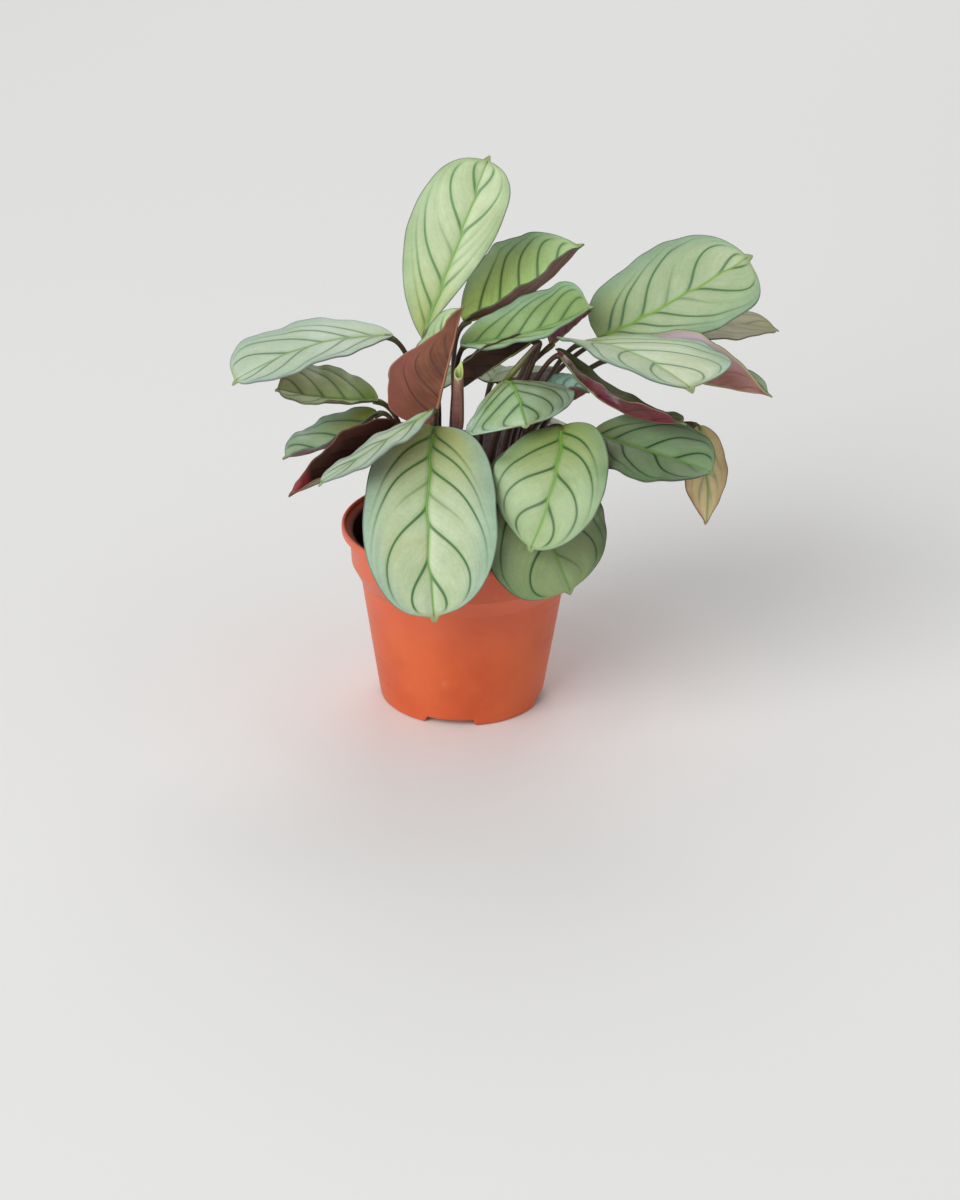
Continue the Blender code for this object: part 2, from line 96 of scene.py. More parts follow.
class Value:
    """One number of a shader, which the usual operators work on."""

    def __init__(self, recipe: "Recipe", socket: Any) -> None:
        """Wrap a socket of the recipe's node tree."""
        self.recipe = recipe
        self.socket = socket

    def math(self, operation: str, *others: Number) -> "Value":
        """Return this value taken through a Math node.

        Args:
            operation: The Math node's operation.
            others: The node's other inputs.

        Returns:
            The node's result.
        """
        inputs = {0: self}
        inputs.update({index + 1: other for index, other in enumerate(others)})
        node = self.recipe.add("ShaderNodeMath", {"operation": operation}, inputs)
        return Value(self.recipe, node.outputs[0])

    def __add__(self, other: Number) -> "Value":
        """Add."""
        return self.math("ADD", other)

    __radd__ = __add__

    def __sub__(self, other: Number) -> "Value":
        """Subtract."""
        return self.math("SUBTRACT", other)

    def __rsub__(self, other: Number) -> "Value":
        """Subtract from a number."""
        return (self * -1.0) + other

    def __mul__(self, other: Number) -> "Value":
        """Multiply."""
        return self.math("MULTIPLY", other)

    __rmul__ = __mul__

    def __truediv__(self, other: Number) -> "Value":
        """Divide."""
        return self.math("DIVIDE", other)

    def __abs__(self) -> "Value":
        """Return the size without its sign."""
        return self.math("ABSOLUTE")

    def rises(self, low: Number, high: Number) -> "Value":
        """Return 0 below low and 1 above high, with a smooth step between."""
        node = self.recipe.add("ShaderNodeMapRange", {"interpolation_type": "SMOOTHSTEP"},
                               {"Value": self, "From Min": low, "From Max": high})
        return Value(self.recipe, node.outputs["Result"])

    def falls(self, low: Number, high: Number) -> "Value":
        """Return 1 below low and 0 above high, with a smooth step between."""
        return 1.0 - self.rises(low, high)


class Recipe:
    """A material's node tree, with short ways to add what the finishes need."""

    def __init__(self, name: str) -> None:
        """Start a material with one Principled shader.

        Args:
            name: The material's name.
        """
        self.material = bpy.data.materials.new(name)
        self.material.use_nodes = True
        self.tree = self.material.node_tree
        self.shader = self.tree.nodes["Principled BSDF"]
        self.object_place = self.add("ShaderNodeTexCoord").outputs["Object"]

    def add(self, kind: str, settings: dict[str, Any] | None = None,
            inputs: dict[Any, Any] | None = None) -> bpy.types.Node:
        """Add a node.

        Args:
            kind: The node's type.
            settings: Its properties, set before its inputs.
            inputs: A value, a Value or a socket for each of its inputs, by name or number.

        Returns:
            The node.
        """
        node = self.tree.nodes.new(kind)
        for name, setting in (settings or {}).items():
            setattr(node, name, setting)
        for name, given in (inputs or {}).items():
            self.feed(node.inputs[name], given)
        return node

    def feed(self, socket: Any, given: Any) -> None:
        """Link a Value or a socket to an input, or set the input to a number or a colour.

        Args:
            socket: The input.
            given: What it gets.
        """
        if isinstance(given, Value):
            self.tree.links.new(given.socket, socket)
        elif isinstance(given, bpy.types.NodeSocket):
            self.tree.links.new(given, socket)
        elif isinstance(given, tuple) and socket.type == "RGBA":
            socket.default_value = (*given, 1.0)
        else:
            socket.default_value = given

    def attribute(self, name: str) -> Value:
        """Return a number that the mesh carries."""
        node = self.add("ShaderNodeAttribute", {"attribute_name": name})
        return Value(self, node.outputs["Fac"])

    def join(self, across: Number, along: Number, up: Number = 0.0) -> Any:
        """Return a vector socket made of three numbers."""
        return self.add("ShaderNodeCombineXYZ", {}, {0: across, 1: along, 2: up}).outputs[0]

    def noise(self, scale: float, detail: float = 3.0, place: Any = None,
              roughness: float = 0.55) -> Value:
        """Return a soft random number from 0 to 1.

        Args:
            scale: How many swells there are in each unit of the place.
            detail: The number of finer layers.
            place: A vector socket, or None for the object's own metres.
            roughness: The weight of the finer layers.

        Returns:
            The noise.
        """
        vector = self.object_place if place is None else place
        node = self.add("ShaderNodeTexNoise", {},
                        {"Vector": vector, "Scale": scale, "Detail": detail,
                         "Roughness": roughness})
        return Value(self, node.outputs[0])

    def blend(self, first: Any, second: Any, share: Number) -> Any:
        """Return a colour that goes from the first to the second as share goes from 0 to 1."""
        node = self.add("ShaderNodeMix", {"data_type": "RGBA"}, {0: share, 6: first, 7: second})
        return node.outputs[2]

    def shade(self, colour: Any, brightness: Value) -> Any:
        """Return a colour made brighter or darker by a number near 1."""
        node = self.add("ShaderNodeVectorMath", {"operation": "SCALE"},
                        {0: colour, "Scale": brightness})
        return node.outputs[0]

    def finish(self, colour: Any, roughness: Number, height: Value | None = None,
               depth: float = 0.1, coat: float = 0.0, coat_roughness: float = 0.3,
               gloss: float = 0.5) -> bpy.types.Material:
        """Connect the shader.

        Args:
            colour: The surface's colour.
            roughness: Its roughness.
            height: The relief, from 0 to 1, or None for a plain surface.
            depth: The relief's depth in millimetres.
            coat: The weight of a clear layer on top.
            coat_roughness: The clear layer's roughness.
            gloss: The shader's specular level.

        Returns:
            The finished material.
        """
        self.feed(self.shader.inputs["Base Color"], colour)
        self.feed(self.shader.inputs["Roughness"], roughness)
        self.shader.inputs["Specular IOR Level"].default_value = gloss
        self.shader.inputs["Coat Weight"].default_value = coat
        self.shader.inputs["Coat Roughness"].default_value = coat_roughness
        if height is not None:
            bump = self.add("ShaderNodeBump", {}, {"Height": height, "Distance": depth * MM,
                                                   "Strength": 1.0})
            self.tree.links.new(bump.outputs[0], self.shader.inputs["Normal"])
        return self.material


@dataclass(frozen=True)
class TopSkin:
    """The upper face of a leaf: pale between the veins, with green laterals and midrib."""

    centre: Colour = seen(190, 208, 166)
    pale: Colour = seen(208, 220, 190)
    edge: Colour = seen(158, 190, 162)
    foot: Colour = seen(152, 178, 88)
    foot_reach: float = 0.4
    foot_share: float = 0.6
    warm: Colour = seen(186, 190, 120)
    warm_share: float = 0.45
    lateral: Colour = seen(84, 128, 82)
    lateral_share: float = 0.92
    midrib: Colour = seen(126, 170, 72)
    margin: Colour = seen(84, 104, 84)
    margin_share: float = 0.8
    tip: Colour = seen(150, 165, 110)
    tip_start: float = 0.93
    rim_start: float = 0.5
    rim_share: float = 0.85
    darkest: float = 0.62
    thread_share: float = 0.3
    fleck_share: float = 0.24
    mottle_share: float = 0.2
    halo_share: float = 0.18
    rib_half: float = 0.5
    rib_taper: float = 0.36
    margin_width: float = 0.42
    roughness: float = 0.42

    def make(self, name: str) -> bpy.types.Material:
        """Return the skin's material.

        Args:
            name: The material's name.

        Returns:
            The finished material.
        """
        r = Recipe(name)
        along, across = r.attribute("along"), r.attribute("across")
        line = abs(r.attribute("vein_phase") - r.attribute("vein_phase").math("ROUND"))
        away = line * r.attribute("vein_scale")
        strength = r.attribute("vein_strength")
        patches = r.noise(95.0, 4.0)
        threads = r.noise(1.0, 3.0, r.join(r.attribute("vein_phase") * 15.0,
                                           across * 3.0, along * 2.0))
        flecks = r.noise(1500.0, 3.0, roughness=0.7)
        mottle = r.noise(430.0, 3.0, roughness=0.6)
        colour = r.blend(self.centre, self.pale, patches.rises(0.42, 0.66) * 0.55)
        colour = r.blend(colour, self.pale, line.rises(0.1, 0.4) * 0.25)
        colour = r.blend(colour, self.warm, r.noise(48.0, 3.0).rises(0.5, 0.72) * self.warm_share)
        foot = along.falls(0.0, self.foot_reach) * (0.55 + patches * 0.9)
        colour = r.blend(colour, self.foot, foot * self.foot_share)
        rim = (across + (patches - 0.5) * 0.25).rises(self.rim_start, 1.0)
        colour = r.blend(colour, self.edge, rim * self.rim_share)
        colour = r.shade(colour, self.darkest + threads * self.thread_share
                         + flecks * self.fleck_share + mottle * self.mottle_share)
        colour = r.blend(colour, self.lateral, away.falls(0.6, 3.4) * strength * self.halo_share)
        vein = away.falls(0.6, 1.3) * strength
        colour = r.blend(colour, self.lateral, vein * self.lateral_share)
        from_midrib = r.attribute("from_midrib")
        half = self.rib_half - along * self.rib_taper
        colour = r.blend(colour, self.midrib, from_midrib.falls(half * 0.8, half * 3.4) * 0.5)
        colour = r.blend(colour, self.midrib, from_midrib.falls(half * 0.6, half * 1.15))
        colour = r.blend(colour, self.tip, along.rises(self.tip_start, 0.985) * 0.85)
        margin = r.attribute("from_margin").falls(0.1, self.margin_width) * along.falls(0.95, 0.99)
        colour = r.blend(colour, self.margin, margin * self.margin_share)
        roughness = self.roughness + (patches - 0.5) * 0.16 + (flecks - 0.5) * 0.3 + vein * 0.06
        height = threads * 0.35 + flecks * 0.25 + (1.0 - vein) * 0.4
        return r.finish(colour, roughness, height, depth=0.09, coat=0.12, coat_roughness=0.35)


@dataclass(frozen=True)
class BackSkin:
    """The underside of a leaf: red to maroon, with fine threads along its veins."""

    main: Colour = seen(118, 62, 62)
    dark: Colour = seen(84, 38, 44)
    bright: Colour = seen(150, 88, 80)
    midrib: Colour = seen(150, 110, 74)
    margin: Colour = seen(172, 146, 112)
    tip: Colour = seen(126, 70, 66)
    edge: Colour = seen(150, 84, 86)
    edge_share: float = 0.35
    threads: float = 20.0
    thread_share: float = 0.9
    tip_start: float = 0.9
    tip_fade: float = 0.08
    margin_width: float = 0.4
    margin_share: float = 0.75
    vein_share: float = 0.7
    rib_half: float = 0.55
    rib_taper: float = 0.35
    roughness: float = 0.5
    coat: float = 0.0

    def make(self, name: str) -> bpy.types.Material:
        """Return the skin's material.

        Args:
            name: The material's name.

        Returns:
            The finished material.
        """
        r = Recipe(name)
        along, across = r.attribute("along"), r.attribute("across")
        phase = r.attribute("vein_phase")
        away = abs(phase - phase.math("ROUND")) * r.attribute("vein_scale")
        vein = away.falls(0.5, 1.3) * r.attribute("vein_strength")
        threads = r.noise(1.0, 4.0, r.join(phase * self.threads, across * 2.5, along * 3.0))
        patches = r.noise(80.0, 4.0)
        colour = r.blend(self.dark, self.main, patches.rises(0.25, 0.55))
        colour = r.blend(colour, self.bright, r.noise(140.0, 3.0).rises(0.5, 0.75) * 0.6)
        far = across.rises(0.35, 0.95) * along.falls(0.45, 0.95)
        colour = r.blend(colour, self.edge, far * self.edge_share)
        colour = r.shade(colour, 1.0 - self.thread_share / 2 + threads * self.thread_share)
        colour = r.blend(colour, self.dark, vein * self.vein_share)
        half = self.rib_half - along * self.rib_taper
        colour = r.blend(colour, self.midrib, r.attribute("from_midrib").falls(half * 0.5, half))
        colour = r.blend(colour, self.tip, along.rises(self.tip_start, self.tip_start + self.tip_fade))
        margin = r.attribute("from_margin").falls(self.margin_width * 0.4, self.margin_width)
        colour = r.blend(colour, self.margin, margin * self.margin_share)
        height = threads * 0.5 + r.noise(1200.0, 2.0) * 0.3 + vein * 0.4
        return r.finish(colour, self.roughness + (patches - 0.5) * 0.2, height, depth=0.1,
                        coat=self.coat, coat_roughness=0.2)


@dataclass(frozen=True)
class StalkSkin:
    """A stalk, dark at its foot, with a paler joint and a green midrib beyond it."""

    low: Colour = seen(74, 48, 38)
    middle: Colour = seen(78, 58, 44)
    joint: Colour = seen(112, 118, 62)
    rib_top: Colour = seen(128, 172, 74)
    rib_under: Colour = seen(150, 118, 84)
    joint_start: float = 0.82
    streak_share: float = 0.8

    def make(self, name: str) -> bpy.types.Material:
        """Return the skin's material.

        Args:
            name: The material's name.

        Returns:
            The finished material.
        """
        r = Recipe(name)
        place, upper = r.attribute("place"), r.attribute("upper")
        streaks = r.noise(1.0, 3.0, r.join(r.attribute("turn") * 14.0, place * 9.0))
        colour = r.blend(self.low, self.middle, place.rises(0.1, 0.7))
        colour = r.blend(colour, self.joint, place.rises(self.joint_start, 1.0))
        rib = r.blend(self.rib_under, self.rib_top, upper.rises(-0.25, 0.25))
        colour = r.blend(colour, rib, place.rises(1.0, 1.08))
        colour = r.shade(colour, 1.0 - self.streak_share / 2 + streaks * self.streak_share)
        height = streaks * 0.6 + r.noise(1500.0, 2.0) * 0.4
        return r.finish(colour, 0.42 + (streaks - 0.5) * 0.2, height, depth=0.06)


@dataclass(frozen=True)
class PotSkin:
    """Moulded terracotta-coloured plastic, with a faint sheen, a little dust and painted shade inside."""

    main: Colour = seen(222, 104, 58)
    deep: Colour = seen(206, 88, 46)
    rosy: Colour = seen(222, 112, 84)
    rosy_from: float = 14.0
    rosy_to: float = 44.0
    # Painted shade, with a little soil dirt: nearly black on the inside wall below the lip, where the
    # pot's shade falls.
    inside: Colour = seen(24, 11, 8)
    dust: Colour = seen(230, 156, 128)
    dust_share: float = 0.22
    gloss: float = 0.3

    def make(self, name: str) -> bpy.types.Material:
        """Return the skin's material.

        Args:
            name: The material's name.

        Returns:
            The finished material.
        """
        r = Recipe(name)
        flow = r.noise(38.0, 3.0)
        grain = r.noise(1400.0, 2.0)
        colour = r.blend(self.deep, self.main, flow.rises(0.3, 0.62))
        height = Value(r, r.add("ShaderNodeSeparateXYZ", {}, {0: r.object_place}).outputs["Z"])
        upper = height.rises(self.rosy_from * MM, self.rosy_to * MM)
        colour = r.blend(colour, self.rosy, upper * 0.8)
        specks = r.noise(210.0, 5.0, roughness=0.7).rises(0.58, 0.8)
        colour = r.blend(colour, self.dust, specks * self.dust_share)
        # Painted shade: the inside wall below the lip goes nearly black, by the mesh's inner share.
        colour = r.blend(colour, self.inside, r.attribute("inner") * (0.72 + flow * 0.4))
        scuff = r.noise(1.0, 4.0, r.add("ShaderNodeMapping", {}, {
            "Vector": r.object_place, "Scale": (60.0, 60.0, 900.0)}).outputs[0])
        relief = grain * 0.4 + scuff * 0.25 + r.noise(90.0, 2.0) * 0.8
        roughness = 0.36 + flow * 0.1 + scuff.rises(0.55, 0.8) * 0.14
        return r.finish(colour, roughness, relief, depth=0.06, gloss=self.gloss)


@dataclass(frozen=True)
class SoilSkin:
    """Moist peat, brown on its crumbs, with painted shade that makes it nearly black in its hollows."""

    shaded_hollow: Colour = seen(24, 16, 12)
    main: Colour = seen(52, 36, 27)
    crumb: Colour = seen(92, 66, 46)

    def make(self, name: str) -> bpy.types.Material:
        """Return the skin's material.

        Args:
            name: The material's name.

        Returns:
            The finished material.
        """
        r = Recipe(name)
        coarse, fine = r.noise(420.0, 5.0, roughness=0.65), r.noise(1900.0, 4.0)
        # Painted shade: the hollows of the coarse relief are coloured nearly black.
        colour = r.blend(self.shaded_hollow, self.main, coarse.rises(0.35, 0.6))
        colour = r.blend(colour, self.crumb, fine.rises(0.56, 0.75) * 0.55)
        return r.finish(colour, 0.86 + (fine - 0.5) * 0.2, coarse * 0.6 + fine * 0.4, depth=0.5,
                        gloss=0.3)


@dataclass(frozen=True)
class Veins:
    """Where the laterals of one half of a blade leave its midrib, from 0 to 1 along it."""

    strong: tuple[float, ...] = (0.04, 0.16, 0.34, 0.54, 0.74)
    faint: tuple[float, ...] = ()
    lean: float = 0.17
    start: float = 0.02
    spread: float = 0.2
    turn: float = 0.5
    turn_less: float = 0.6
    turn_power: float = 4.2
    leave: float = 0.05
    outer: float = 0.45
    fade_from: float = 0.55
    fade: float = 0.45
    faint_share: float = 0.55

    def origin(self, s: np.ndarray, t: np.ndarray) -> np.ndarray:
        """Return the place on the midrib that a vein through each point comes from.

        Args:
            s: Places along the blade, from 0 to 1.
            t: Places from the midrib to the margin, from 0 to 1.

        Returns:
            Places along the midrib.
        """
        arc = self.turn * t ** self.turn_power
        leave = self.start * (1 - np.exp(-t / self.leave))
        return (s - self.lean * t - leave - arc) / (1 + self.spread * t - self.turn_less * arc)

    def phase(self, s: np.ndarray, t: np.ndarray) -> np.ndarray:
        """Return a number that is whole on each lateral and runs smoothly from one to the next.

        Args:
            s: Places along the blade, from 0 to 1.
            t: Places from the midrib to the margin, from 0 to 1.

        Returns:
            The vein phase at each place.
        """
        places = sorted((*self.strong, *self.faint))
        numbers = np.arange(1.0, len(places) + 1)
        first_gap, last_gap = places[1] - places[0], places[-1] - places[-2]
        places = np.array([places[0] - self.outer * first_gap, *places,
                           places[-1] + self.outer * last_gap])
        numbers = np.array([1 - self.outer, *numbers, len(numbers) + self.outer])
        slopes = np.diff(numbers) / np.diff(places)
        knots = np.concatenate(([slopes[0]], 2 / (1 / slopes[1:] + 1 / slopes[:-1]), [slopes[-1]]))
        origin = np.clip(self.origin(s, t), places[0], places[-1])
        index = np.clip(np.searchsorted(places, origin) - 1, 0, len(slopes) - 1)
        step = places[index + 1] - places[index]
        u = (origin - places[index]) / step
        return (numbers[index] * (1 + 2 * u) * (1 - u) ** 2 + knots[index] * step * u * (1 - u) ** 2
                + numbers[index + 1] * u ** 2 * (3 - 2 * u)
                + knots[index + 1] * step * u ** 2 * (u - 1))

    def strength(self, phase: np.ndarray, t: np.ndarray) -> np.ndarray:
        """Return how strongly the lateral nearest to each point shows.

        Args:
            phase: The vein phase at each point.
            t: Places from the midrib to the margin, from 0 to 1.

        Returns:
            Strengths from 0 to 1.
        """
        places = sorted((*self.strong, *self.faint))
        index = np.clip(np.rint(phase).astype(int) - 1, 0, len(places) - 1)
        is_faint = np.array([place in self.faint for place in places])[index]
        outward = np.clip((t - self.fade_from) / (1 - self.fade_from), 0, 1)
        strong = 1 - self.fade * outward ** 2
        faint = self.faint_share * np.clip(1 - t / self.fade_from, 0, 1) ** 0.6
        return np.where(is_faint, faint, strong)


@dataclass(frozen=True)
class Leaf:
    """One leaf. Left and right are as seen along the midrib from base to tip, top face up."""

    name: str
    slot: Slot
    base: tuple
    tip: tuple
    root: tuple
    left: float = 13.0
    right: float = 13.0
    bow: float = 0.0
    sway: float = 0.0
    roll: float = 0.0
    fold_left: tuple = (8.0, 8.0)
    fold_right: tuple = (8.0, 8.0)
    curl_left: float = -10.0
    curl_right: float = -10.0
    widest: tuple = (0.5, 0.5)
    base_power: tuple = (0.55, 0.55)
    tip_power: tuple = (0.5, 0.5)
    wave: float = 0.5
    waves: float = 2.5
    rise: float = 18.0
    reach: float = 8.0
    arch: tuple = ()
    veins_left: Veins = Veins()
    veins_right: Veins = Veins()
    top: TopSkin = TopSkin()
    back: BackSkin = BackSkin()
    stalk: StalkSkin = StalkSkin()
    seed: int = 0


MID_GREEN = TopSkin(centre=seen(180, 200, 158), pale=seen(200, 216, 184), edge=seen(152, 180, 146),
                    foot=seen(150, 172, 84), lateral=seen(78, 118, 74), midrib=seen(122, 164, 70))
TALL_GREEN = TopSkin(centre=seen(186, 206, 156), pale=seen(202, 218, 176), edge=seen(162, 190, 138),
                     foot=seen(184, 194, 104), foot_share=0.75, foot_reach=0.45,
                     warm=seen(190, 200, 136), lateral=seen(86, 138, 72), lateral_share=0.9,
                     midrib=seen(140, 178, 104), margin=seen(92, 98, 90))
FRONT_GREEN = TopSkin(centre=seen(184, 204, 156), pale=seen(204, 220, 188), edge=seen(156, 188, 164),
                      foot=seen(164, 172, 88), foot_share=0.8, foot_reach=0.5,
                      lateral=seen(60, 112, 52), midrib=seen(96, 150, 56))
YOUNG_GREEN = replace(FRONT_GREEN, centre=seen(156, 180, 124), pale=seen(174, 198, 150),
                      edge=seen(136, 166, 118), foot=seen(136, 160, 78), lateral=seen(46, 96, 38))
BLUE_GREEN = TopSkin(centre=seen(150, 182, 138), pale=seen(176, 204, 170), edge=seen(128, 166, 138),
                     foot=seen(136, 164, 78), foot_share=0.8, warm=seen(160, 184, 126),
                     warm_share=0.3, lateral=seen(58, 104, 68), midrib=seen(92, 144, 72))
# Painted shade: a darkened copy of the leaf top, for the halves and leaves that sit in shade.
SHADOWED_GREEN = TopSkin(centre=seen(104, 120, 66), pale=seen(124, 140, 90), edge=seen(84, 104, 62),
                     foot=seen(92, 100, 46), warm=seen(120, 114, 60), lateral=seen(44, 66, 36),
                     midrib=seen(92, 120, 54), margin=seen(56, 50, 40))
SHADED_GREEN = TopSkin(centre=seen(142, 164, 108), pale=seen(160, 180, 132),
                       edge=seen(116, 144, 96), foot=seen(118, 134, 66), warm=seen(150, 156, 84),
                       lateral=seen(48, 88, 46), midrib=seen(92, 136, 56), margin=seen(58, 64, 46))
# Partly a real yellow-green foot, partly painted light: the very pale foot runs over the whole blade to
# brighten its base, where leaf_tall's shadow falls.
BRIGHT_GREEN = replace(SHADED_GREEN, centre=seen(168, 200, 126), pale=seen(184, 214, 152),
                       edge=seen(158, 198, 152), foot=seen(216, 250, 146), foot_reach=1.0,
                       foot_share=1.0, warm=seen(182, 210, 118), lateral=seen(66, 118, 54),
                       lateral_share=0.82)
BROAD_GREEN = TopSkin(centre=seen(168, 190, 144), pale=seen(188, 206, 170), edge=seen(140, 172, 138),
                      lateral=seen(76, 120, 72), midrib=seen(136, 176, 70))
OLIVE_GREEN = replace(SHADED_GREEN, centre=seen(188, 214, 140), pale=seen(206, 226, 170),
                      edge=seen(148, 178, 104), foot=seen(108, 136, 38), foot_share=0.85,
                      warm=seen(168, 184, 88), lateral=seen(74, 112, 52), lateral_share=0.65)
CROWN_GREEN = replace(BLUE_GREEN, centre=seen(136, 166, 96), pale=seen(164, 194, 136),
                      edge=seen(150, 188, 152), foot=seen(146, 178, 92), warm=seen(128, 148, 70),
                      warm_share=0.5, lateral=seen(54, 98, 50), lateral_share=0.75)
COOL_GREEN = replace(SHADED_GREEN, centre=seen(126, 156, 112), pale=seen(148, 176, 136),
                     edge=seen(108, 140, 98), warm=seen(140, 156, 90), lateral=seen(38, 80, 44))
SILVER_GREEN = replace(MID_GREEN, centre=seen(186, 206, 176), pale=seen(206, 220, 202),
                       edge=seen(168, 194, 172), warm_share=0.2, foot_share=0.35,
                       lateral=seen(104, 134, 104), midrib=seen(136, 170, 108),
                       margin=seen(112, 112, 112))
OLIVE_BEIGE = TopSkin(centre=seen(172, 170, 104), pale=seen(184, 182, 122), edge=seen(152, 152, 92),
                      foot=seen(140, 128, 84), warm=seen(180, 160, 120), lateral=seen(130, 118, 80),
                      lateral_share=0.7, midrib=seen(146, 140, 88), margin=seen(120, 104, 82))
YELLOW_DYING = TopSkin(centre=seen(214, 194, 134), pale=seen(224, 208, 158), edge=seen(196, 168, 118),
                       foot=seen(170, 170, 96), warm=seen(214, 164, 100), warm_share=0.7,
                       lateral=seen(130, 138, 104), lateral_share=0.5, midrib=seen(142, 150, 112),
                       margin=seen(136, 88, 80), margin_share=0.85, tip=seen(214, 118, 70),
                       roughness=0.6)

RUSSET_BACK = BackSkin(main=seen(122, 70, 46), dark=seen(88, 46, 32), bright=seen(146, 90, 58),
                       midrib=seen(168, 110, 80), margin=seen(170, 120, 90),
                       edge=seen(152, 84, 74), edge_share=0.6, tip=seen(140, 150, 92),
                       threads=10.0, thread_share=1.3, tip_start=0.94)
# Painted shade: a darkened copy of the underside, for leaves that sit in shade; RED_TIPPED_BACK keeps it.
SHADOWED_BACK = BackSkin(main=seen(64, 34, 24), dark=seen(38, 20, 16), bright=seen(96, 54, 38),
                     midrib=seen(84, 52, 42), margin=seen(112, 80, 62), tip=seen(90, 50, 44),
                     edge=seen(84, 44, 36))
RED_TIPPED_BACK = replace(SHADOWED_BACK, tip=seen(150, 60, 64), tip_start=0.78)
CRIMSON_BACK = BackSkin(main=seen(136, 44, 72), dark=seen(92, 28, 48), bright=seen(176, 84, 108),
                        margin=seen(206, 180, 132), roughness=0.3, coat=0.5)
# Painted sheen: the pale lilac edge towards the margin stands in for the light that grazes the folded
# underside.
ROSE_BACK = BackSkin(main=seen(172, 120, 108), dark=seen(142, 90, 80), bright=seen(190, 146, 136),
                     midrib=seen(186, 150, 120), margin=seen(196, 196, 138),
                     edge=seen(204, 180, 196), edge_share=1.0, margin_width=0.9)
PALE_BACK = BackSkin(main=seen(176, 150, 104), dark=seen(150, 116, 76), bright=seen(196, 176, 120),
                     margin=seen(176, 140, 82), tip=seen(222, 138, 74))

DARK_STALK = StalkSkin(joint=seen(74, 48, 44), rib_top=seen(112, 150, 72), rib_under=seen(120, 72, 62))
RUSSET_STALK = StalkSkin(joint=seen(78, 54, 44), rib_top=seen(158, 112, 80),
                         rib_under=seen(158, 104, 76))

FIVE_VEINS = Veins((0.08, 0.24, 0.40, 0.56, 0.73))
FOUR_VEINS = Veins((0.10, 0.30, 0.51, 0.72))
THREE_VEINS = Veins((0.12, 0.38, 0.64))

